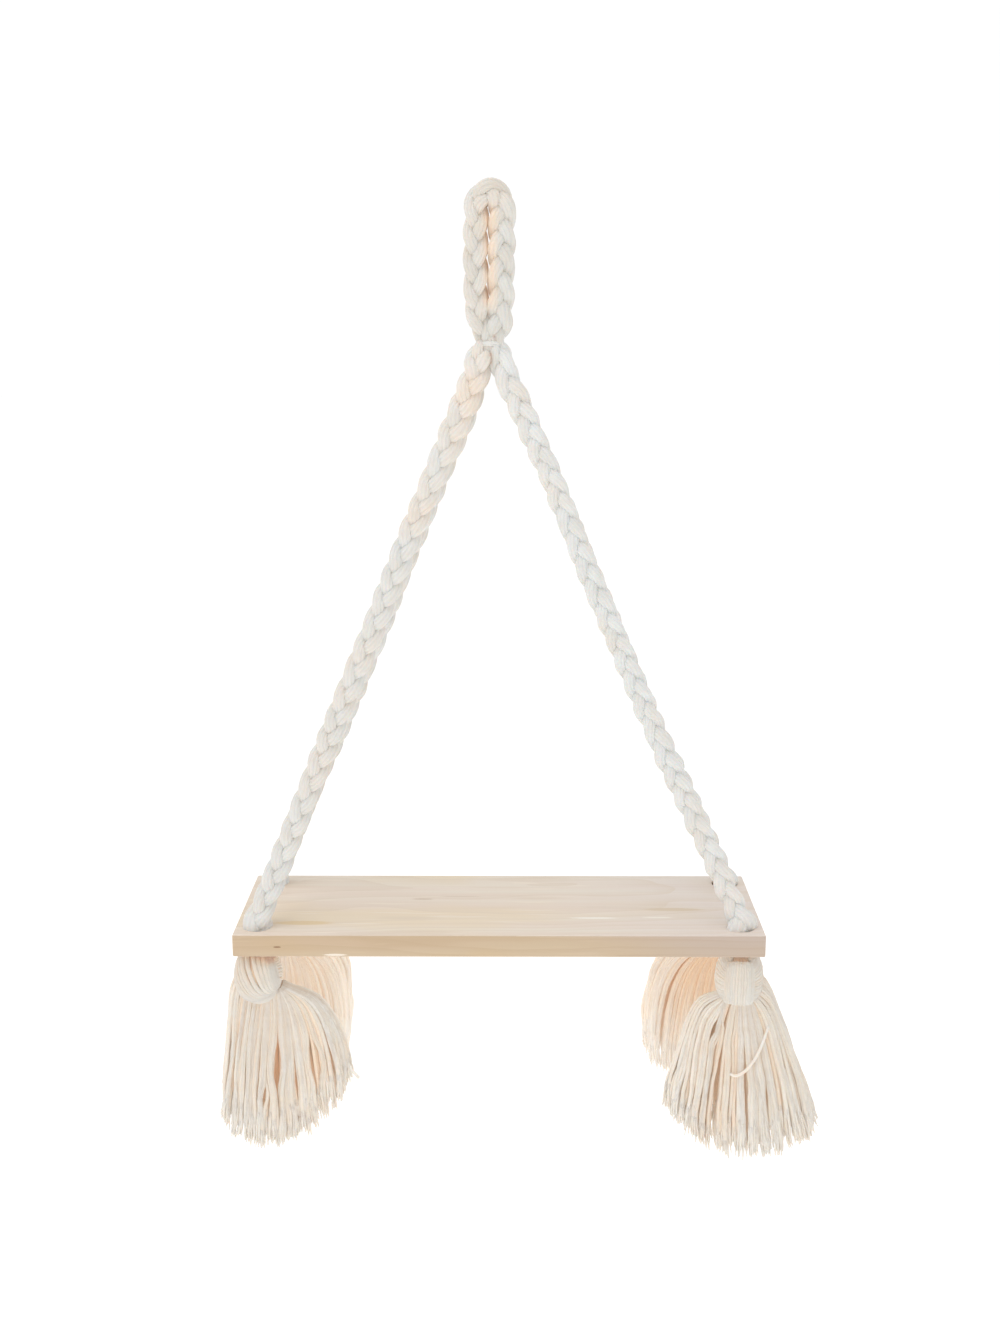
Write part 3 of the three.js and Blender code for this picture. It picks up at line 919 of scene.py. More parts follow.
@dataclass(frozen=True)
class HollowShade:
    """A patch of painted shade in a gap between runs of rope: its depth, how far forward it reaches, and its
    line as x and z.
    """

    depth: float
    front: float
    line: tuple[tuple[float, float], ...]
    reach: float = 2.2
    fade: float = 5.0
    step: float = 0.8

    def shade(self, points: Points) -> Points:
        """Gives how much painted shade points get in the hollow.

        Args:
            points: The points, in any shape.

        Returns:
            A number from 0 to the hollow's depth for each point.
        """
        control = np.array([(x, 0.0, z) for x, z in self.line])
        shade = np.zeros(points.shape[:-1])
        for x, _, z in resample(control, self.step):
            away = (points[..., 0] - x) ** 2 + (points[..., 2] - z) ** 2
            shade = np.maximum(shade, np.exp(-away / self.reach**2))
        open_to = 1 - smoothstep(np.abs(points[..., 1]), self.front - self.fade, self.front)
        return self.depth * shade * open_to


# Painted shade in four stretches of the loop's slit from its top down, in the gap at the lashing, and in the
# fork of the legs.
PAINTED_HOLLOW_SHADES = (
    HollowShade(1.2, 13.5, ((-0.6, 0.0), (-1.6, -3.0), (-2.0, -10.0))),
    HollowShade(1.0, 13.5, ((-2.0, -18.0), (-2.2, -30.0))),
    HollowShade(0.9, 13.5, ((-2.2, -38.0), (-2.2, -50.0))),
    HollowShade(1.2, 13.5, ((-2.2, -60.0), (-2.0, -67.0), (-1.4, -73.0), (-1.2, -84.0))),
    HollowShade(1.3, 15.0, ((3.1, -100.0), (3.2, -103.5))),
    HollowShade(1.4, 17.0, ((0.4, -114.0), (0.2, -120.5))),
)


def painted_hollow_shade(points: Points) -> Points:
    """Gives the painted shade of points in the hollows between the ropes, 0 outside them."""
    return np.max([hollow.shade(points) for hollow in PAINTED_HOLLOW_SHADES], axis=0)


@dataclass
class PlaitedRope:
    """One run of a three-strand plait between the lashed neck and its other end."""

    run: str
    body: str
    route: Points
    facing: int
    seed: int
    both_ends_in_neck: bool = False
    step: float = 2.2
    width: float = 18.7
    swing: float = 4.9
    lift: float = 4.1
    cycle: float = 58.8
    half_width: float = 4.65
    half_height: float = 4.05
    yarns: int = 9
    points_per_yarn: int = 5
    crease: float = 0.66
    squeeze: float = 0.5
    squeeze_reach: float = 12.0
    lean: float = 0.0
    lean_reach: float = 8.0
    bloom: float = 0.0
    bloom_stretch: tuple[float, float] = (30.0, 130.0)
    girth: float = 1.0
    plump: float = 0.5
    plump_reach: float = 8.0
    twist_rate: float = 0.012
    twist_start: float = 6.0
    warmth: float = 0.0
    warmth_fade: float = 0.75
    warmth_stretch: tuple[float, float] = (60.0, 170.0)
    # Painted warm glow on the inner sides of the loop's open slit.
    painted_slit_glow: float = 0.0
    shade: float = 0.0
    slip: Wave = Wave(0.25, 150.0)
    sideways: Wave = Wave(0.25, 35.0)
    forward: Wave = Wave(0.2, 30.0)
    twist: Wave = Wave(0.5, 60.0)
    yarn_swell: Wave = Wave(1.0, 24.0)
    swell_share: float = 0.045
    strand_swell: Wave = Wave(0.05, 28.0)
    patches: Wave = Wave(0.8, 90.0)

    def fullness(self, line: Points, along: Points) -> Points:
        """Gives how full the plait is: squeezed at the neck, and full a short way from it.

        Args:
            line: Points along the run.
            along: Their distances from the start of the run.

        Returns:
            A share of the full size for each point, as a column.
        """
        from_neck = np.minimum(along, along[-1] - along) if self.both_ends_in_neck else along
        eased = self.squeeze + (1 - self.squeeze) * smoothstep(from_neck, -2.0, self.squeeze_reach)
        leaning = 1 + self.lean * np.clip(line[:, 0] / self.lean_reach, -1, 1)
        blooming = self.girth + self.bloom * (1 - smoothstep(along, *self.bloom_stretch))
        return (eased * leaning * blooming)[:, None]

    def plumpness(self, line: Points) -> Points:
        """Gives how much fatter the strands are where they are pressed into the board's hole.

        Args:
            line: Points along the run.

        Returns:
            A factor for each point, as a column.
        """
        above_board = 1.0
        from_board = (line[:, 2] - BOARD_TOP_Z - above_board) / self.plump_reach
        return (1 + self.plump * np.exp(-(from_board**2)))[:, None]

    def sides(self, line: Points) -> tuple[Points, Points]:
        """Gives the plait's own sideways and outward directions.

        Args:
            line: Points along the run.

        Returns:
            Both directions for each point.
        """
        tangent = unit(np.gradient(line, axis=0))
        across = unit(np.cross(-FRONT, tangent))
        return across, self.facing * np.cross(tangent, across)

    def bundle(self, along: Points, size: Points, rng: np.random.Generator) -> tuple[Points, Points]:
        """Makes the cross-section of one strand, a bundle of yarns that twist and swell.

        Args:
            along: Distances from the start of the run.
            size: The strand's size at each of them, as a column.
            rng: The seeded source of randomness.

        Returns:
            The cross-section at each distance, and how far each of its points is swollen.
        """
        twist = self.twist.along(rng, along) + along * self.twist_rate + rng.uniform(0, self.twist_start)
        section = lobed_section(self.yarns, self.points_per_yarn, twist, self.crease)
        swells = [self.yarn_swell.along(rng, along) for _ in range(self.yarns)]
        swell = np.repeat(np.stack(swells, axis=1), self.points_per_yarn, axis=1)
        size = size * (1 + self.strand_swell.along(rng, along))[:, None]
        section = section * (1 + self.swell_share * swell[..., None]) * size[..., None]
        return section * np.array([self.half_width, self.half_height]), swell

    def colouring(
        self, along: Points, rings: Points, swell: Points, rng: np.random.Generator
    ) -> tuple[Points, Points]:
        """Paints tone and warmth on one strand: painted shade most of all in the hollows, a warm tint along
        the run, and a painted warm glow where the loop's slit is open.

        Args:
            along: Distances from the start of the run.
            rings: The strand's rings.
            swell: How far each of their points is swollen.
            rng: The seeded source of randomness.

        Returns:
            The tone and the warmth of each point.
        """
        # Painted warm glow on the inner sides where the loop's slit is open.
        inner = 1 - smoothstep(np.abs(rings[..., 0]), 1.5, 8.5)
        in_slit = smoothstep(rings[..., 2], -86.0, -72.0) * (1 - smoothstep(rings[..., 2], -12.0, 0.0))
        fading = 1 - self.warmth_fade * smoothstep(along, *self.warmth_stretch)
        pink = self.warmth * fading * (1 + self.patches.along(rng, along))
        warmth = pink[:, None] + self.painted_slit_glow * inner * in_slit
        # Painted shade: points deep in a hollow take a tone above 1, the dark colour of shade.
        deep = painted_hollow_shade(rings)
        plain = self.shade + rng.uniform(0.0, 0.3) + 0.1 * swell
        hollow_shade_tone = 1.3
        return plain * (1 - np.minimum(deep, 1)) + hollow_shade_tone * deep, warmth

    def build(self) -> bpy.types.Object:
        """Builds the three strands of the run.

        Returns:
            The rope's mesh object.
        """
        rng = np.random.default_rng(self.seed)
        draft = MeshDraft()
        line = resample(self.route, self.step)
        along = arc_lengths(line)
        across, outward = self.sides(line)
        full = self.fullness(line, along)
        slip = self.slip.along(rng, along)
        for strand in range(3):
            turn = FULL_TURN * (strand / 3 + along / self.cycle) + slip
            sideways = self.swing * np.sin(turn) + self.sideways.along(rng, along)
            forward = self.lift * np.sin(2 * turn) + self.forward.along(rng, along)
            path = line + full * (sideways[:, None] * across + forward[:, None] * outward)
            section, swell = self.bundle(along, full * self.plumpness(line), rng)
            rings = sweep(path, outward, section)
            tone, warmth = self.colouring(along, rings, swell, rng)
            draft.add_tube(rings, self.yarns, tone=tone, warmth=warmth)
        return draft.build(f"{self.run}_rope")

    def declare(self, piece: bpy.types.Object) -> None:
        """Args:
            piece: The run's mesh object; not used.
        """


@dataclass
class RopeWork:
    """The routes of both ropes, in the loop and in the four legs."""

    rope_y: float = 8.46
    neck_x: float = 4.5
    neck_y: float = 4.0
    crown_radius: float = 9.3
    crown_z: float = -2.2
    crown_shift: float = 0.2
    crown_lean: float = 0.09
    loop_offset: float = 0.25
    bend_above_board: float = 5.0
    below_board_z: float = -583.0
    spacing: float = 1.0
    loop_rounding: float = 3.0
    leg_rounding: float = 4.0

    def loop_route(self, side_y: int) -> Points:
        """Gives one rope's way up the left column, over the hook and down the right one.

        Args:
            side_y: -1 for the front rope, 1 for the back one.

        Returns:
            Points about a millimetre apart.
        """
        left = [
            (-self.neck_x, self.neck_y, NECK_Z),
            (-6.2, 6.2, -96.0),
            (-8.3, 8.0, -86.0),
            (-10.6, self.rope_y, -75.0),
            (-10.9, self.rope_y, -60.0),
            (-10.8, self.rope_y, -25.0),
            (-self.crown_radius - 0.7, self.rope_y, self.crown_z),
        ]
        right = [
            (self.crown_radius, self.rope_y, self.crown_z),
            (8.8, self.rope_y, -22.0),
            (8.7, self.rope_y, -45.0),
            (8.4, self.rope_y, -66.0),
            (7.7, self.rope_y, -78.0),
            (7.1, 8.0, -87.0),
            (6.2, 6.2, -96.0),
            (self.neck_x, self.neck_y, NECK_Z),
        ]
        angle = np.linspace(math.pi, 0, 25)[1:-1]
        crown = [(math.cos(turn) * self.crown_radius, math.sin(turn) * self.crown_radius) for turn in angle]
        arc = [(x - self.crown_shift - self.crown_lean * z, self.rope_y, self.crown_z + z) for x, z in crown]
        offset = np.array([self.loop_offset * side_y, 0, 0])
        route = np.array(left + arc + right) * np.array([1, side_y, 1]) + offset
        return soften(resample(route, self.spacing), self.loop_rounding)

    def leg_route(self, corner: Corner) -> Points:
        """Gives one leg's way out of the neck, down to its hole and upright through the board.

        Args:
            corner: The leg's corner.

        Returns:
            Points about a millimetre apart.
        """
        hole = np.abs(corner.hole)
        bend = np.array([hole[0], hole[1], BOARD_TOP_Z + self.bend_above_board])
        start = np.array([8.9, self.rope_y, -124.0])
        inside = np.array([-1, 0, 0])
        slack = [start + (bend - start) * share + inward * inside for share, inward in SLACKS[corner.name]]
        points = [
            (self.neck_x, self.neck_y, NECK_Z),
            (6.6, 5.8, -109.5),
            (9.5, 7.6, -115.5),
            tuple(start),
            *map(tuple, slack),
            tuple(bend),
            (hole[0], hole[1], self.below_board_z),
        ]
        route = np.array(points) * np.array([corner.side_x, corner.side_y, 1])
        return soften(resample(route, self.spacing), self.leg_rounding)

    def loops(self) -> list[PlaitedRope]:
        """Lists the two runs of rope in the hanging loop.

        Returns:
            The front run and the back one.
        """
        return [
            PlaitedRope(
                f"{name}_loop",
                "loop",
                self.loop_route(side_y),
                facing=-1,
                seed=seed,
                both_ends_in_neck=True,
                painted_slit_glow=0.36,
                shade=0.52,
                warmth=0.04,
                swing=5.15,
                half_width=4.9,
                squeeze_reach=17.0,
                lean=0.05,
            )
            for name, side_y, seed in (("front", -1, 11), ("back", 1, 12))
        ]

    def leg(self, corner: Corner, seed: int) -> PlaitedRope:
        """Gives the run of rope between the neck and one corner of the board.

        Args:
            corner: The corner.
            seed: The seed of its randomness.

        Returns:
            The run.
        """
        on_left = corner.side_x < 0
        return PlaitedRope(
            f"{corner.name}_leg",
            "shelf",
            self.leg_route(corner),
            facing=1 if on_left else -1,
            seed=seed,
            warmth=0.16 if on_left else 0.04,
            bloom=0.1 if on_left else 0.08,
            girth=1.05 if on_left else 1.0,
            plump=0.83 if corner.name == "front_right" else 0.5,
            squeeze_reach=14.5,
        )

    def build(self, material: bpy.types.Material) -> None:
        """Builds and dresses every run.

        Args:
            material: The ropes' cotton.
        """
        legs = [self.leg(corner, 21 + index) for index, corner in enumerate(CORNERS)]
        for rope in self.loops() + legs:
            piece = rope.build()
            strands = [f"{rope.run}_strand_{strand}" for strand in (1, 2, 3)]
            dress(piece, material, "cotton", rope.body, *strands)
            rope.declare(piece)


@dataclass
class Lashing:
    """The squeezed neck of the ropes and the thread wound round it."""

    core_radius: float = 9.5
    core_half_height: float = 9.0
    core_taper: float = 0.35
    core_yarns: int = 22
    thread_radius: float = 0.55
    thread_points: int = 260
    thread_sides: int = 10
    winding_radius: float = 10.3
    turns: float = 3.15
    pitch: float = 1.15
    start_angle: float = 0.6
    tuck: float = 1.6
    uneven_radius: float = 0.08
    uneven_height: float = 0.12

    def build_core(self) -> bpy.types.Object:
        """Builds the gathered yarn that the thread squeezes.

        Returns:
            The yarn's mesh object.
        """
        height = np.linspace(1, -1, 19)
        radius = self.core_radius * (1 - self.core_taper * np.abs(height) ** 3)
        path = np.stack([0 * height, 0 * height, NECK_Z + self.core_half_height * height], axis=1)
        section = lobed_section(self.core_yarns, 5, turn=0.15 * height, crease=0.86) * radius[:, None, None]
        draft = MeshDraft()
        draft.add_tube(sweep(path, FRONT, section), self.core_yarns, tone=0.25, warmth=0.15)
        return draft.build("rope_neck_yarn")

    def build_thread(self) -> bpy.types.Object:
        """Builds the thread as one unbroken winding, uneven by hand, with both ends tucked in.

        Returns:
            The thread's mesh object.
        """
        share = np.linspace(0, 1, self.thread_points)
        angle = FULL_TURN * self.turns * share + self.start_angle
        tuck = self.tuck * (1 - smoothstep(np.minimum(share, 1 - share), 0.0, 0.05))
        radius = self.winding_radius - tuck + self.uneven_radius * np.sin(7 * angle)
        climb = self.pitch * self.turns * (share - 0.5)
        height = NECK_Z + climb + self.uneven_height * np.sin(3 * angle + 1)
        outward = np.stack([np.cos(angle), np.sin(angle), 0 * angle], axis=1)
        path = outward * radius[:, None] + np.stack([0 * angle, 0 * angle, height], axis=1)
        section = round_section(np.full(self.thread_points, self.thread_radius), self.thread_sides)
        draft = MeshDraft()
        draft.add_tube(sweep(path, outward, section))
        return draft.build("lashing_thread_winding")

    def build(self, yarn: bpy.types.Material, thread: bpy.types.Material) -> None:
        """Builds and dresses the neck and its thread."""
        dress(self.build_core(), yarn, "cotton", "neck", "rope_neck")
        dress(self.build_thread(), thread, "white_thread", "lashing", "lashing_thread")


class KnotStyle(Enum):
    """How the last turns of yarn lie over a knot."""

    FANNED = "fanned"
    STRAPPED = "strapped"


@dataclass(frozen=True)
class YarnBand:
    """Yarns laid side by side over a ball, between two edges given as azimuth and elevation in degrees.

    Rise is how far they stand out of the ball, and widths is how wide they are from one end to the other.
    """

    yarns: int
    yarn_radius: float
    rise: float
    left: tuple[tuple[float, float], ...]
    right: tuple[tuple[float, float], ...]
    widths: tuple[float, ...]


# The bands over each kind of knot: at first those on its front, and later those on its sides and back.
BANDS = {
    KnotStyle.FANNED: (
        YarnBand(
            24, 1.9, 0.2,
            ((-118, 58), (-104, 12), (-60, -36), (2, -46), (58, -16)),
            ((52, 58), (56, 38), (60, 14), (66, -2), (72, -6)),
            (1.0, 1.0, 1.0, 0.8, 0.4),
        ),
        YarnBand(
            15, 1.5, -0.6,
            ((60, -6), (34, -28), (-2, -50), (-40, -66)),
            ((74, -4), (82, -26), (88, -46), (92, -64)),
            (0.45, 0.8, 1.0, 1.0),
        ),
        YarnBand(
            18, 1.55, -1.0,
            ((62, 66), (110, 58), (150, 40), (190, 20), (240, 10)),
            ((66, -30), (100, -46), (150, -56), (200, -50), (250, -40)),
            (0.6, 0.9, 1.0, 1.0, 0.9),
        ),
        YarnBand(
            16, 1.5, -1.2,
            ((120, 70), (160, 64), (200, 62), (236, 64), (262, 66)),
            ((112, -20), (160, -24), (200, -20), (240, -16), (268, -10)),
            (0.8, 1.0, 1.0, 1.0, 0.8),
        ),
    ),
    KnotStyle.STRAPPED: (
        YarnBand(
            13, 1.55, 0.7,
            ((-40, 49), (-42, 34), (-43, 0), (-44, -28), (-52, -48), (-50, -68)),
            ((31, 49), (31, 34), (30, 0), (30, -28), (36, -48), (34, -68)),
            (0.7, 0.95, 1.0, 1.0, 1.0, 0.9),
        ),
        YarnBand(
            26, 2.0, -0.5,
            ((-160, 78), (-110, 78), (-74, 76), (-36, 60)),
            ((-160, -46), (-110, -50), (-74, -54), (-36, -50)),
            (1.0, 1.0, 1.0, 0.8),
        ),
        YarnBand(
            26, 2.0, -0.5,
            ((28, 60), (74, 76), (110, 78), (150, 78)),
            ((28, -50), (74, -54), (110, -48), (150, -44)),
            (0.8, 1.0, 1.0, 1.0),
        ),
        YarnBand(
            14, 1.55, 0.4,
            ((140, 78), (142, 40), (144, 0), (146, -34), (150, -64)),
            ((222, 78), (218, 40), (214, 0), (210, -34), (200, -64)),
            (0.8, 1.0, 1.0, 1.0, 0.7),
        ),
    ),
}


@dataclass
class RopeEnd:
    """The knot under one corner of the board, and the gathered yarn below it."""

    corner: Corner
    style: KnotStyle
    seed: int
    radius: float = 20.0
    height: float = 46.0
    top_gap: float = 0.6
    neck_radius: float = 7.2
    flat_share: float = 0.78
    top_power: float = 0.55
    core_yarns: int = 30
    gather_yarns: int = 14
    yarn_sides: int = 10
    yarn_spacing: float = 2.0
    points_per_station: int = 6
    jitter: float = 0.15
    ripple: Wave = Wave(0.25, 24.0)
    # Painted shadow of the board on the knot's top: how far below the board it starts, how it reaches further
    # down on the right, and how much it darkens and warms the yarn.
    shadow_start: tuple[float, float] = (-8.0, -2.0)
    shadow_side: tuple[float, float] = (-5.0, 10.0)
    shadow_tone: float = 0.8
    side_tone: float = 0.13
    shadow_warmth: float = 0.3

    @property
    def side_shadow(self) -> float:
        """How much further down the painted shadow of the board reaches on the right: a fanned knot turns in
        there.
        """
        return 4.5 if self.style is KnotStyle.FANNED else 0.0

    @property
    def lowest(self) -> float:
        """How far down the knot reaches, as a share of half its height: a strapped one is flat below."""
        return -self.flat_share if self.style is KnotStyle.STRAPPED else -1.0

    @property
    def fall_power(self) -> float:
        """How round the knot is below: a strapped one keeps its width further down."""
        return 0.5 if self.style is KnotStyle.STRAPPED else 0.85

    @property
    def top_shade(self) -> float:
        """How much painted shade darkens the core at its top, under the board."""
        return 0.3 if self.style is KnotStyle.STRAPPED else 0.45

    @property
    def middle(self) -> Points:
        """The middle of the knot."""
        z = BOARD_UNDER_Z - self.top_gap - self.height / 2
        return np.array([*self.corner.hole, z])

    def on_ball(self, directions: Points, inset: float) -> Points:
        """Puts directions onto the knot's surface, which is squarer above than below.

        Args:
            directions: Unit directions from the knot's middle.
            inset: How far under the surface the points lie.

        Returns:
            The points.
        """
        rise = np.clip(directions[..., 2], -1, 1)
        flat = np.maximum(np.hypot(directions[..., 0], directions[..., 1]), 1e-6)
        power = np.where(rise > 0, self.top_power, self.fall_power)
        reach = (self.radius - inset) * flat**power / flat
        level = np.maximum(rise, self.lowest) * (self.height / 2 - inset)
        local = np.stack([directions[..., 0] * reach, directions[..., 1] * reach, level], axis=-1)
        return self.middle + local

    def edge(self, stations: tuple[tuple[float, float], ...], count: int) -> Points:
        """Gives one edge of a band as unit directions from the knot's middle.

        Args:
            stations: Azimuths and elevations along the edge, in degrees.
            count: How many directions to give.

        Returns:
            The directions.
        """
        azimuth, elevation = np.radians(smooth_curve(np.array(stations), count)).T
        flat = np.cos(elevation)
        return np.stack([flat * np.sin(azimuth), -flat * np.cos(azimuth), np.sin(elevation)], axis=1)

    def board_shadow(self, path: Points) -> tuple[Points, Points]:
        """Paints the board's shadow: gives where yarn lies in it, as a share, and how much painted shade it
        gets there.

        Args:
            path: The yarn's points.

        Returns:
            Both for each point. To the right of a fanned knot the painted shadow is deeper and reaches
            further down.
        """
        rightward = smoothstep(path[:, 0] - self.corner.hole[0], *self.shadow_side)
        height = path[:, 2] - BOARD_UNDER_Z + self.side_shadow * rightward
        shadow = smoothstep(height, *self.shadow_start)
        return shadow, (self.shadow_tone + self.side_tone * self.side_shadow * rightward) * shadow

    def lay_band(self, draft: MeshDraft, band: YarnBand, rng: np.random.Generator) -> None:
        """Lays the yarns of one band.

        Args:
            draft: The knot's mesh.
            band: The band.
            rng: The seeded source of randomness.
        """
        count = self.points_per_station * len(band.left)
        left, right = self.edge(band.left, count), self.edge(band.right, count)
        widths = smooth_curve(np.array(band.widths)[:, None], count)[:, 0]
        along = np.arange(count) * self.yarn_spacing
        for yarn in range(band.yarns):
            share = (yarn + 0.5 + rng.uniform(-self.jitter, self.jitter)) / band.yarns
            direction = unit(left + (right - left) * share)
            inset = band.yarn_radius - band.rise + self.ripple.along(rng, along)
            path = self.on_ball(direction, inset)
            radius = band.yarn_radius * widths * rng.uniform(0.95, 1.08)
            rings = sweep(path, direction, round_section(radius, self.yarn_sides))
            # Painted shadow of the board: the yarn gets darker and warmer close under the board.
            shadow, shade = self.board_shadow(path)
            tone = rng.uniform(0.0, 0.45) + shade
            warmth = rng.uniform(0.0, 0.1) + self.shadow_warmth * shadow
            draft.add_tube(rings, tone=tone, warmth=warmth)

    def add_core(self, draft: MeshDraft) -> None:
        """Adds the full core of the knot, painted dark with shade and a warm glow, as it shows only between
        the yarns over it.

        Args:
            draft: The knot's mesh.
        """
        side_inset, end_inset, bottom_slope = 2.0, 2.2, 0.02
        elevation = np.radians(np.linspace(86, -86, 22))
        height = np.sin(elevation)
        power = np.where(height > 0, self.top_power, self.fall_power)
        reach = np.cos(elevation) ** power * (self.radius - side_inset)
        path = np.zeros((len(height), 3)) + self.middle
        lowest = self.lowest - bottom_slope * (1 + height)
        path[:, 2] += np.maximum(height, lowest) * (self.height / 2 - end_inset)
        section = lobed_section(self.core_yarns, 4, turn=0.3 * height, crease=0.9) * reach[:, None, None]
        # Painted shade: the core takes the full shade colour, darker still near its top, with a warm glow.
        tone = 1.0 + self.top_shade * smoothstep(height, 0.4, 0.9)
        draft.add_tube(sweep(path, FRONT, section), self.core_yarns, tone=tone, warmth=0.5)

    def build_knot(self) -> bpy.types.Object:
        """Builds the knot: a full core, and bands of yarn over it.

        Returns:
            The knot's mesh object.
        """
        rng = np.random.default_rng(self.seed)
        draft = MeshDraft()
        self.add_core(draft)
        for band in BANDS[self.style]:
            self.lay_band(draft, band, rng)
        return draft.build(f"{self.corner.name}_knot_yarn")

    def build_gather(self) -> bpy.types.Object:
        """Builds the ball of gathered yarn where the tassel leaves the knot.

        Returns:
            The gather's mesh object.
        """
        height = np.linspace(0.97, -0.97, 15)
        radius = self.neck_radius * np.sqrt(1 - height**2)
        path = np.zeros((len(height), 3)) + self.corner.pivot
        path[:, 2] += height * self.neck_radius
        section = lobed_section(self.gather_yarns, 5, turn=0.4 * height, crease=0.8) * radius[:, None, None]
        draft = MeshDraft()
        draft.add_tube(sweep(path, FRONT, section), self.gather_yarns, tone=0.4, warmth=0.4)
        return draft.build(f"{self.corner.name}_gathered_yarn")

    def build(self, material: bpy.types.Material) -> None:
        """Builds and dresses the knot and the gathered yarn.

        Args:
            material: The knots' cotton.
        """
        dress(self.build_knot(), material, "cotton", "shelf", f"{self.corner.name}_knot")
        neck = f"{self.corner.name}_tassel_neck"
        dress(self.build_gather(), material, "cotton", neck, neck)


# For each tassel, lines that its yarns follow from root to tip, from its left edge to its right one, as
# places sideways and up from the tassel's pivot. They are measured on the photo.
GUIDES = {
    "front_left": (
        ((-15.2, 31.5), (-22.9, 17.7), (-26.1, -4.7), (-29, -39.5), (-32.7, -74.7), (-34.2, -97.5)),
        ((-7.7, 16.9), (-10.6, 1.4), (-13.8, -22), (-16.3, -50), (-19.1, -83.6), (-21.8, -110)),
        ((5.1, 12.6), (3, -2.9), (0.6, -26.4), (-1.1, -57), (-2.2, -90.6), (-3.2, -115.5)),
        ((15.6, 16.1), (17.6, -0.3), (18.5, -26.3), (19.2, -57), (19.2, -87.9), (17.6, -112.4)),
        ((17.3, 16.9), (27.3, 1.4), (34.7, -24.5), (38.9, -52.5), (40.7, -79), (43.2, -101.8)),
        ((18.1, 17.8), (39.5, 5.8), (51.9, -15), (58.7, -37.6), (62.3, -60.4), (62.6, -83.4)),
        ((18.9, 18.7), (46.8, 7.5), (60.1, -9.7), (67.8, -28.8), (71.5, -46.3), (72.8, -61.3)),
    ),
    "front_right": (
        ((-13.3, 12.6), (-30.9, 7.2), (-40.2, -7.5), (-48.5, -31.8), (-55.9, -59.8), (-58.6, -86.4)),
        ((-11, 10.4), (-25.8, -2.2), (-33.3, -25.7), (-38.2, -56.3), (-41.6, -82.8), (-41, -107.7)),
        ((-7.1, 9.7), (-14.2, -12.6), (-18.3, -38.7), (-21.6, -69.5), (-24, -98.7), (-22.5, -118.5)),
        ((-0.4, 9.6), (-0.4, -16.9), (-0.4, -43.1), (-0.3, -73.8), (-0.2, -104), (0.6, -124.6)),
        ((6.2, 9.7), (10.4, -14.3), (14.9, -40.4), (20.1, -73.8), (23.6, -104.9), (25.4, -121.4)),
        ((10.4, 10.4), (20.6, -5.6), (29.2, -34.3), (36.9, -66.7), (43, -98.6), (46, -116.2)),
        ((10.6, 17.6), (24.6, 6.5), (35.2, -19.5), (46.1, -52.6), (55.5, -86.1), (60, -112.4)),
        ((13.3, 30.5), (22.5, 20.2), (33, -3.9), (43.7, -32.5), (55.5, -64.9), (65.8, -96.8)),
    ),
    "back_left": (
        ((-12.8, 14.5), (-19.5, -3.9), (-24.5, -27.1), (-27.9, -50.4), (-30.6, -78.6), (-31.3, -99.5)),
        ((-2.5, 12.7), (-5.7, -8.5), (-9, -31.7), (-11.6, -57.9), (-13.2, -83.3), (-14.1, -111.8)),
        ((6.1, 10.9), (7.2, -11.3), (7.4, -36.3), (7.6, -61.6), (6.8, -88), (6.1, -114.6)),
        ((13, 10.9), (22, -8.5), (27.5, -31.7), (30.4, -57.8), (31.5, -83.2), (31.8, -108.9)),
        ((18.3, 12.7), (36.9, -2), (46.9, -22.3), (51.6, -46.5), (53.7, -72.8), (53.1, -99.3)),
        ((22, 18), (51, 13), (62.5, -3), (63.5, -25), (62.5, -48), (57, -82)),
    ),
    "back_right": (
        ((-14.4, 17), (-45, 12), (-59, -3), (-65.8, -27), (-67, -52), (-65.2, -83.6)),
        ((-10.8, 13.3), (-32.9, 0.4), (-46.3, -19.9), (-53.6, -44.1), (-56.6, -72.3), (-55.1, -98.7)),
        ((-5.6, 11.5), (-18.9, -6.9), (-27, -31.1), (-31.6, -57.2), (-33.6, -83.5), (-33, -106.3)),
        ((-0.4, 11.5), (-2.4, -10.6), (-4.3, -35.7), (-5.3, -60.9), (-6.4, -85.4), (-5.7, -110)),
        ((6.4, 13.3), (12.3, -7.8), (16.4, -31), (18.9, -55.2), (20.6, -79.7), (22.2, -104.3)),
        ((13.2, 17), (25.8, 0.5), (33.5, -21.7), (37.8, -45.8), (40.4, -70.2), (41.1, -92.9)),
    ),
}


@dataclass(frozen=True)
class Parting:
    """A place where a tassel's front opens, or closes where the width is below zero.

    Middle, top and bottom are measured from the pivot, and lean is how much further right the bottom lies.
    """

    middle: float
    top: float
    bottom: float
    width: float
    lean: float = 0.0


@dataclass(frozen=True)
class Clump:
    """Neighbouring yarns that lean on one another: the angle of their middle, and what they share."""

    middle: float
    sways: tuple[Points, Points]
    reach: float
    tone: float


@dataclass(frozen=True)
class Course:
    """One yarn's way down the tassel: its angle round it and its distance from the middle, root to tip.

    Aside is how far the yarn starts from the middle of its clump, where 1 is halfway to the next clump.
    """

    outer: bool
    aside: float
    angle: Points
    distance: Points

    @property
    def across(self) -> Points:
        """How far right the yarn lies, from -1 to 1."""
        return self.distance * np.cos(self.angle)

    @property
    def deep(self) -> Points:
        """How far back the yarn lies, from -1 to 1."""
        return self.distance * np.sin(self.angle)


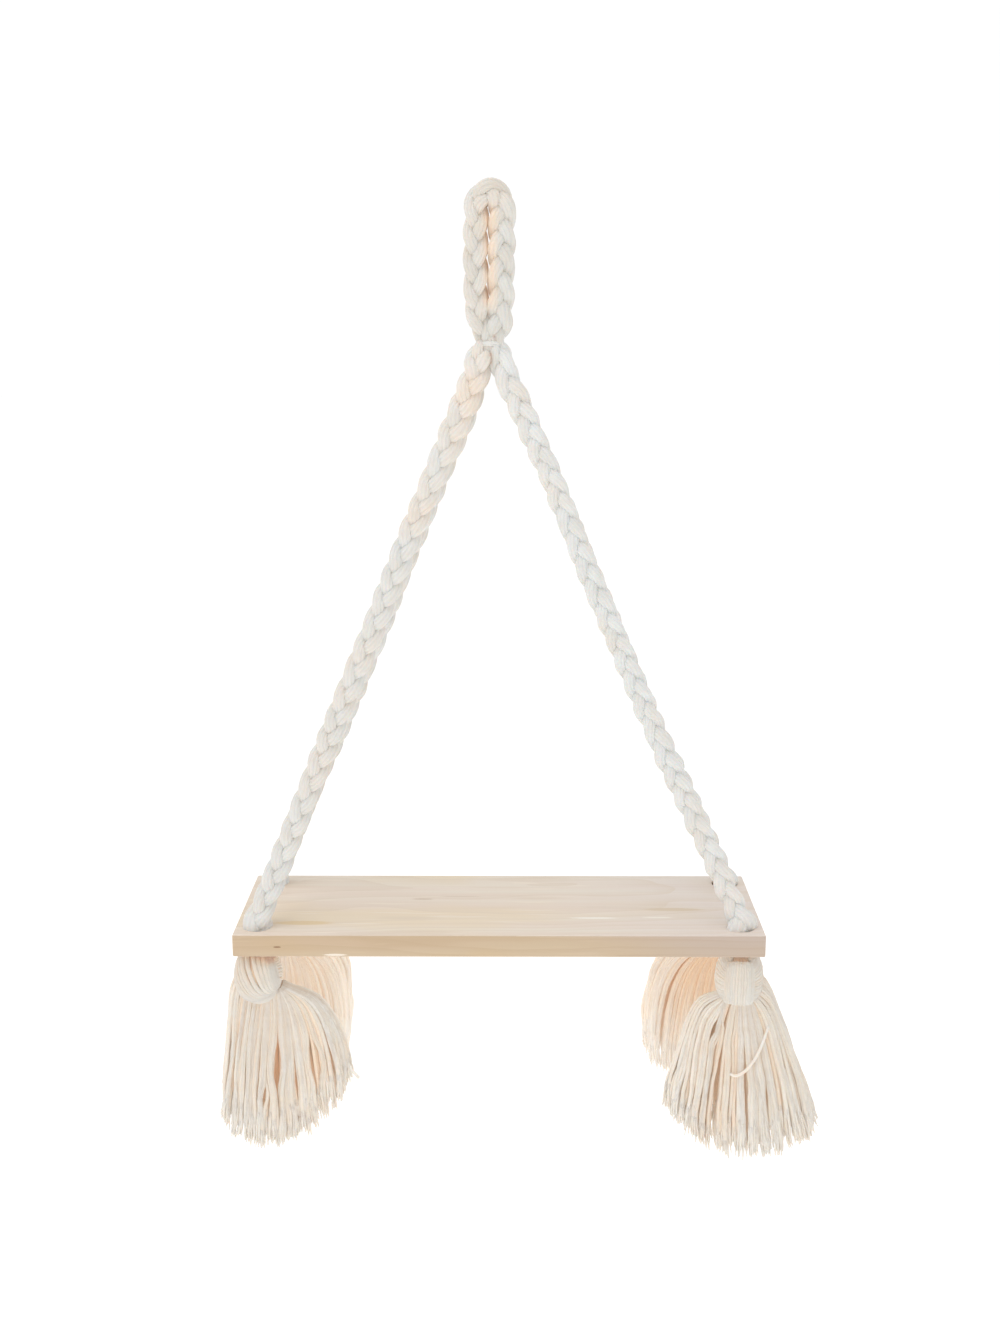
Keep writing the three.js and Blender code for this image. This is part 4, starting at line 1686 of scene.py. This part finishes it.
@dataclass(frozen=True)
class Plies:
    """The three plies that a yarn opens into at its tip. Pairs of numbers are the limits of random draws."""

    sides: int = 6
    turn_spread: float = 0.4
    apart: tuple[float, float] = (0.3, 1.5)
    longer: tuple[float, float] = (-3.5, 1.5)
    thickness: tuple[float, float] = (0.5, 0.62)
    thinning: float = 0.6
    warmth: float = 0.05

    def add(
        self, draft: MeshDraft, path: Points, radius: Points, tone: float, rng: np.random.Generator
    ) -> None:
        """Adds the plies of one yarn.

        Args:
            draft: The tassel's mesh.
            path: The yarn's last points.
            radius: The yarn's radius at them.
            tone: How shaded the yarn is.
            rng: The seeded source of randomness.
        """
        share = np.linspace(0, 1, len(path))
        start = rng.uniform(0, FULL_TURN)
        for ply in range(3):
            angle = start + ply * FULL_TURN / 3 + rng.normal(0, self.turn_spread)
            apart = 0.5 * radius + share**1.5 * rng.uniform(*self.apart)
            longer = share * rng.uniform(*self.longer)
            line = path + np.stack([np.cos(angle) * apart, np.sin(angle) * apart, -longer], axis=1)
            thick = radius * rng.uniform(*self.thickness) * (1 - self.thinning * smoothstep(share, 0.6, 1.0))
            rings = sweep(line, FRONT, round_section(thick, self.sides))
            draft.add_tube(rings, tone=tone, warmth=self.warmth)


@dataclass(frozen=True)
class LooseFibre:
    """A fine fibre that leaves a yarn near its tip. Pairs of numbers are the limits of random draws."""

    leaves_at: tuple[float, float] = (0.72, 0.97)
    length: tuple[float, float] = (5.0, 12.0)
    radius: tuple[float, float] = (0.18, 0.34)
    spread: float = 0.28
    bend: float = 0.16
    thinning: float = 0.6
    points: int = 7
    sides: int = 5
    warmth: float = 0.02

    def add(self, draft: MeshDraft, path: Points, rng: np.random.Generator) -> None:
        """Adds one such fibre.

        Args:
            draft: The tassel's mesh.
            path: The yarn's points.
            rng: The seeded source of randomness.
        """
        start = path[int(rng.uniform(*self.leaves_at) * (len(path) - 1))]
        fall = path[-1] - path[-4]
        fall /= np.linalg.norm(fall)
        length = rng.uniform(*self.length)
        spread = rng.normal(0, self.spread, 3)
        share = np.linspace(0, 1, self.points)[:, None]
        bend = rng.normal(0, self.bend, 3)
        line = start + (fall + spread) * length * share + bend * length * share**2
        radius = rng.uniform(*self.radius) * (1 - self.thinning * share[:, 0])
        draft.add_tube(sweep(line, FRONT, round_section(radius, self.sides)), warmth=self.warmth)


@dataclass
class Tassel:
    """One tassel: combed-out yarns that fall between guide lines, from the left edge to the right one."""

    corner: Corner
    seed: int
    # Painted warm glow near the knot, standing in for light bounced off the board. Inner yarns also get a
    # painted warm glow and painted shade.
    warmth: float = 0.1
    yarns: int = 290
    clumps: int = 46
    yarn_radius: float = 1.55
    yarn_sides: int = 8
    steps: int = 26
    root_depth: float = 7.0
    hem_depth: float = 25.0
    rear_fall: float = 0.055
    clumping: float = 0.2
    crease: float = 0.1
    painted_inner_glow: float = 0.26
    painted_inner_shade: float = 0.2
    fibres: int = 220
    fibre: LooseFibre = LooseFibre()
    plies: Plies = Plies()
    outer_from: float = 0.91
    outer_end: tuple[float, float] = (0.94, 0.995)
    inner_end: tuple[float, float] = (0.88, 0.985)
    crimp: tuple[float, float] = (0.15, 0.35)
    clump_sway: float = 1.7
    clump_period: float = 1.1
    wander: Wave = Wave(0.9, 0.5)
    crimp_period: float = 0.16
    parting_reach: float = 7.0
    parting_depth: float = 4.0
    warmth_fall: float = 75.0
    least_warmth: float = 0.03
    painted_depth_glow: float = 0.5
    painted_crease_shade: float = 0.5
    tip_tone: float = 0.6
    fewest_open: int = 2
    most_open: int = 5
    bend_above: float = 6.0
    bend_below: float = 26.0
    strays: tuple[tuple[tuple[float, float, float], ...], ...] = ()
    partings: tuple[Parting, ...] = ()

    @property
    def shares(self) -> Points:
        """How far down the tassel each step of a yarn lies, from 0 to 1."""
        return np.linspace(0, 1, self.steps)

    def part(self, path: Points) -> None:
        """Pushes the front of a yarn aside where the tassel parts.

        Args:
            path: The yarn's points, which are moved.
        """
        for opening in self.partings:
            local = path - self.corner.pivot
            level = np.clip((local[:, 2] - opening.bottom) / (opening.top - opening.bottom), 0, 1)
            aside = local[:, 0] - opening.middle - opening.lean * (0.5 - level)
            near = np.exp(-((aside / self.parting_reach) ** 2)) * (local[:, 1] < -self.parting_depth)
            push = opening.width * np.sin(math.pi * level) * near
            path[:, 0] += np.where(aside < 0, -push, push)

    def fall(self, across: Points, deep: Points) -> Points:
        """Places points in the tassel.

        Args:
            across: For each step from root to tip, a share from the left guide (0) to the right one (1).
            deep: For each step, a share from the front (-1) to the back (1).

        Returns:
            Points in the part's frame.
        """
        guides = np.array(GUIDES[self.corner.name])
        lines = np.stack([smooth_curve(guide, self.steps) for guide in guides])
        place = np.clip(across, 0, 1) * (len(guides) - 1)
        index = np.minimum(place.astype(int), len(guides) - 2)
        share = (place - index)[:, None]
        step = np.arange(self.steps)
        flat = lines[index, step] * (1 - share) + lines[index + 1, step] * share
        depth = self.root_depth + (self.hem_depth - self.root_depth) * smoothstep(-flat[:, 1], -8.0, 70.0)
        fall = flat[:, 1] * (1 + self.rear_fall * smoothstep(deep, -0.3, 0.5))
        return np.stack([flat[:, 0], deep * depth, fall], axis=1) + self.corner.pivot

    def seats(self, rng: np.random.Generator) -> tuple[Points, Points]:
        """Spreads the yarns over the tassel's cross-section, most of them on its outside.

        Args:
            rng: The seeded source of randomness.

        Returns:
            The angle round the tassel of each yarn, and its distance from the middle as a share.
        """
        angle = np.linspace(0, FULL_TURN, 721)
        outline = np.stack([2.0 * np.cos(angle), np.sin(angle), 0 * angle], axis=1)
        length = arc_lengths(outline)
        places = (np.arange(self.yarns) + rng.uniform(-0.4, 0.4, self.yarns)) / self.yarns % 1
        angles = np.interp(places * length[-1], length, angle)
        layer = rng.permutation(self.yarns) / self.yarns
        outside, under, inside = (
            rng.uniform(low, high, self.yarns) for low, high in ((0.95, 1.0), (0.76, 0.9), (0.1, 0.75))
        )
        return angles, np.where(layer > 0.86, inside, np.where(layer < 0.56, outside, under))

    def draw_clumps(self, rng: np.random.Generator) -> list[Clump]:
        """Draws what the yarns of each clump share.

        Args:
            rng: The seeded source of randomness.

        Returns:
            The clumps, in order round the tassel.
        """
        middles = (np.arange(self.clumps) + 0.5) / self.clumps * FULL_TURN
        sways = [
            tuple(drift(rng, self.shares, self.clump_period) for _ in range(2)) for _ in range(self.clumps)
        ]
        reaches = rng.uniform(0.92, 1.0, self.clumps)
        tones = rng.uniform(0.0, 0.6, self.clumps)
        return [Clump(*shared) for shared in zip(middles, sways, reaches, tones)]

    def course(self, angle: float, reach: float, clump: Clump) -> Course:
        """Plans one yarn's way, drawn towards its clump and sunk between two clumps.

        Args:
            angle: The yarn's seat round the tassel.
            reach: Its distance from the middle, as a share.
            clump: Its clump.

        Returns:
            The yarn's way.
        """
        share = self.shares
        outer = bool(reach > self.outer_from)
        pull = self.clumping * smoothstep(share, 0.0, 0.6) * (1 - 0.4 * smoothstep(share, 0.85, 1.0))
        aside = abs(angle - clump.middle) * self.clumps / math.pi
        sunk = self.crease * aside**2 * (1.6 - share) * smoothstep(share, 0.0, 0.12)
        if not outer:
            pull, sunk = 0.3 * pull, 0.0
        distance = reach * (clump.reach * pull + 1 - pull) - sunk
        return Course(outer, aside, angle + (clump.middle - angle) * pull, distance)

    def loosen(self, path: Points, clump: Clump, rng: np.random.Generator) -> None:
        """Lets a yarn sway with its clump, wander by itself and keep a little crimp.

        Args:
            path: The yarn's points, which are moved.
            clump: Its clump.
            rng: The seeded source of randomness.
        """
        loose = smoothstep(self.shares, 0.1, 0.9)
        for axis, sway in enumerate(clump.sways):
            path[:, axis] += loose * (self.clump_sway * sway + self.wander.along(rng, self.shares))
        crimp = Wave(rng.uniform(*self.crimp), self.crimp_period)
        path[:, 0] += smoothstep(self.shares, 0.1, 0.3) * crimp.along(rng, self.shares)

    def trim(self, path: Points, outer: bool, rng: np.random.Generator) -> Points:
        """Cuts a yarn to its own length.

        Args:
            path: The yarn's points.
            outer: Whether it lies on the tassel's outside.
            rng: The seeded source of randomness.

        Returns:
            As many points as before, along the yarn that is left.
        """
        end = rng.uniform(*(self.outer_end if outer else self.inner_end))
        cut = resample(path, arc_lengths(path)[-1] / (self.steps * 4))
        cut = cut[: int(end * len(cut))]
        return at_places(np.linspace(0, len(cut) - 1, self.steps), np.arange(len(cut)), cut)

    def taper(self, rng: np.random.Generator) -> Points:
        """Gives one yarn's radius from its root, where it is pressed, to its blooming tip.

        Args:
            rng: The seeded source of randomness.

        Returns:
            The radius at each step.
        """
        root = 0.62 + 0.38 * smoothstep(self.shares, 0.0, 0.3)
        bloom = 1 + rng.uniform(0.0, 0.2) * smoothstep(self.shares, 0.8, 0.95)
        return self.yarn_radius * rng.uniform(0.85, 1.15) * root * bloom

    def warm(self, course: Course, path: Points) -> Points:
        """Gives one yarn's painted warm glow, which is highest in the middle of the front, near the knot and
        inside.

        Args:
            course: The yarn's way.
            path: Its points.

        Returns:
            The warmth of each point.
        """
        side = 1 - 0.8 * smoothstep(np.abs(course.across), 0.25, 0.8)
        side = side * smoothstep(-np.sin(course.angle), -0.3, 0.4)
        glow = self.warmth * side * (1 - smoothstep(TASSEL_PIVOT_Z - path[:, 2], 0.0, self.warmth_fall))
        inner = 0.0 if course.outer else self.painted_inner_glow
        within = self.painted_depth_glow * (1 - course.distance)
        return np.clip(self.least_warmth + glow + inner + within, 0, 1)

    def add_yarn(self, draft: MeshDraft, course: Course, clump: Clump, rng: np.random.Generator) -> Points:
        """Adds one yarn with its open tip.

        Args:
            draft: The tassel's mesh.
            course: The yarn's way.
            clump: Its clump.
            rng: The seeded source of randomness.

        Returns:
            The yarn's points.
        """
        path = self.fall((course.across + 1) / 2, course.deep)
        self.loosen(path, clump, rng)
        if course.outer:
            self.part(path)
        path = self.trim(path, course.outer, rng)
        radius = self.taper(rng)
        kept = rng.integers(self.steps - self.most_open, self.steps - self.fewest_open + 1)
        # Each clump has a random tone. Outer yarns get painted shade in the creases between clumps, and inner
        # yarns get painted shade.
        shade = clump.tone + self.painted_crease_shade * course.aside**2 if course.outer else self.painted_inner_shade
        tone = shade + rng.uniform(0.0, 0.25)
        rings = sweep(path[:kept], FRONT, round_section(radius[:kept], self.yarn_sides))
        draft.add_tube(rings, tone=tone, warmth=self.warm(course, path)[:kept])
        tip = slice(kept - 2, None)
        self.plies.add(draft, path[tip], radius[tip], self.tip_tone * tone, rng)
        return path

    def build_yarns(self) -> bpy.types.Object:
        """Builds every yarn of the tassel, its fine fibres and its stray yarns.

        Returns:
            The tassel's mesh object.
        """
        rng = np.random.default_rng(self.seed)
        draft = MeshDraft()
        seats = self.seats(rng)
        clumps = self.draw_clumps(rng)
        outer_paths = []
        for angle, reach in zip(*seats):
            clump = clumps[int(angle / FULL_TURN * self.clumps)]
            course = self.course(angle, reach, clump)
            path = self.add_yarn(draft, course, clump, rng)
            if course.outer:
                outer_paths.append(path)
        for _ in range(self.fibres):
            self.fibre.add(draft, outer_paths[rng.integers(len(outer_paths))], rng)
        for line in self.strays:
            path = smooth_curve(np.array(line), self.steps) + self.corner.pivot
            draft.add_tube(sweep(path, FRONT, round_section(self.taper(rng) * 0.9, self.yarn_sides)))
        return draft.build(f"{self.corner.name}_tassel_yarns")

    def build(self, material: bpy.types.Material) -> None:
        """Builds and dresses the tassel, which rides on no body, and bakes its place into its mesh.

        Args:
            material: The tassel's cotton.
        """
        piece = self.build_yarns()
        dress(piece, material, "cotton", "", self.corner.body)
        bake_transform(piece)


@dataclass
class Board:
    """The plain board, with eased edges and a hole near each corner."""

    length: float = 420.0
    depth: float = 140.0
    edge_round: float = 1.1
    corner_round: float = 1.6
    hole_radius: float = 10.56

    def outline(self) -> list[Points]:
        """Gives the board's outline and its four holes, as closed loops.

        Returns:
            The loops, the outline first.
        """
        half = np.array([self.length / 2, self.depth / 2]) - self.corner_round
        corners = []
        for index, (x, y) in enumerate(((1, 1), (-1, 1), (-1, -1), (1, -1))):
            angle = np.radians(np.linspace(0, 90, 6) + 90 * index)
            arc = self.corner_round * np.stack([np.cos(angle), np.sin(angle)], axis=1)
            corners.append(arc + half * np.array([x, y]))
        loops = [np.vstack(corners)]
        angle = np.linspace(0, FULL_TURN, 49)[:-1]
        circle = self.hole_radius * np.stack([np.cos(angle), np.sin(angle)], axis=1)
        middle = np.array([BOARD_MIDDLE_X, 0.0])
        return loops + [circle + corner.hole - middle for corner in CORNERS]

    def build(self, material: bpy.types.Material) -> None:
        """Builds the board with rounded edges at its faces and holes, and dresses it.

        Args:
            material: The board's wood.
        """
        curve = bpy.data.curves.new("board_outline", "CURVE")
        curve.dimensions = "2D"
        curve.fill_mode = "BOTH"
        curve.extrude = ((BOARD_TOP_Z - BOARD_UNDER_Z) / 2 - self.edge_round) * MM
        curve.bevel_depth = self.edge_round * MM
        curve.bevel_resolution = 4
        curve.offset = -self.edge_round * MM
        for loop in self.outline():
            spline = curve.splines.new("POLY")
            spline.points.add(len(loop) - 1)
            padded = np.column_stack([loop * MM, np.zeros(len(loop)), np.ones(len(loop))])
            spline.points.foreach_set("co", padded.ravel())
            spline.use_cyclic_u = True
        source = bpy.data.objects.new("board_outline", curve)
        mesh = bpy.data.meshes.new_from_object(source)
        bpy.data.objects.remove(source)
        middle_z = (BOARD_TOP_Z + BOARD_UNDER_Z) / 2
        mesh.transform(Matrix.Translation((BOARD_MIDDLE_X * MM, 0.0, middle_z * MM)))
        mesh.polygons.foreach_set("use_smooth", np.ones(len(mesh.polygons), bool))
        mesh.set_sharp_from_angle(angle=math.radians(24))
        board = bpy.data.objects.new("shelf_board", mesh)
        bpy.context.scene.collection.objects.link(board)
        dress(board, material, "board_wood", "shelf", "board")


def rope_ends() -> list[RopeEnd]:
    """Lists the four knots, of which two are fanned and two strapped."""
    styles = (KnotStyle.FANNED, KnotStyle.STRAPPED, KnotStyle.STRAPPED, KnotStyle.FANNED)
    return [RopeEnd(corner, style, 41 + index) for index, (corner, style) in enumerate(zip(CORNERS, styles))]


def tassels() -> list[Tassel]:
    """Lists the four tassels, with the partings and stray yarns that the photo shows in the front ones.

    Returns:
        The tassels, in the order of the corners.
    """
    front_left, front_right, back_left, back_right = CORNERS
    return [
        Tassel(
            front_left,
            seed=61,
            partings=(
                Parting(15.0, -25.0, -64.0, 2.6),
                Parting(46.0, -24.0, -60.0, 3.9, 5.6),
                Parting(4.5, -56.0, -80.0, 1.8),
            ),
            strays=(((56, -1, -6), (64, -4, -24), (68, -6, -42), (73, -8, -52), (79.3, -9, -59.5)),),
        ),
        Tassel(
            front_right,
            seed=62,
            root_depth=11.0,
            painted_inner_glow=0.14,
            painted_inner_shade=0.6,
            partings=(
                Parting(-21.0, -4.0, -38.0, 1.3),
                Parting(-2.0, -16.0, -32.0, 1.3),
                Parting(6.0, -48.0, -68.0, 1.0),
                Parting(15.0, -42.0, -68.0, 1.1),
                Parting(30.0, -48.0, -68.0, 0.9),
                Parting(-16.8, 16.0, -106.0, -2.5, -9.5),
                Parting(5.4, -66.0, -112.0, -0.9),
            ),
            strays=(
                ((24, -6, -10), (22, -14, -14), (14.5, -20, -31.5), (7.8, -22.5, -41.5),
                 (1.9, -23.8, -47), (-3.7, -24, -49.5), (-8.2, -21, -49), (-10, -14, -49)),
            ),
        ),
        Tassel(back_left, seed=63, warmth=0.12, painted_inner_glow=0.1),
        Tassel(back_right, seed=64, warmth=0.66, painted_inner_glow=0.1),
    ]


def main() -> None:
    """Builds the studio and every piece in order."""
    logging.basicConfig(level=logging.INFO, format="%(name)s %(message)s")
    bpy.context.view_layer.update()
    studio = Studio()
    studio.set_camera()
    rope_cotton = CottonFinish(
        "rope_cotton",
        light=(221, 223, 222),
        shade=(210, 207, 200),
        hollow=(190, 160, 142),
        plies=2.0,
        pitch=7.0,
        relief=0.45,
        scatter=0.5,
        soft_glow=0.13,
    ).material()
    knot_cotton = CottonFinish(
        "knot_cotton", light=(230, 225, 217), shade=(218, 209, 197), hollow=(198, 158, 140), relief=0.5
    ).material()
    tassel_cotton = CottonFinish(
        "tassel_cotton", light=(243, 238, 230), shade=(229, 219, 206), relief=0.5, soft_glow=0.06
    ).material()
    # Painted light: a lighter copy of the tassel cotton with a stronger painted glow, for the back tassels.
    lit_cotton = CottonFinish(
        "lit_cotton",
        light=(246, 241, 234),
        shade=(238, 228, 216),
        relief=0.4,
        soft_glow=0.13,
        warm_glow=-0.02,
    ).material()
    thread_cotton = CottonFinish(
        "thread_cotton", light=(246, 244, 239), shade=(238, 234, 227), pitch=1.6
    ).material()
    wood = WoodFinish("board_wood_grain").material()
    RopeWork().build(rope_cotton)
    Lashing().build(rope_cotton, thread_cotton)
    Board().build(wood)
    for rope_end in rope_ends():
        rope_end.build(knot_cotton)
    for tassel in tassels():
        # The back tassels take the lighter copy, painted light for the light that reaches them from behind.
        tassel.build(tassel_cotton if tassel.corner.side_y < 0 else lit_cotton)
    studio.light()
    studio.lay_floor()


if __name__ == "__main__":
    main()
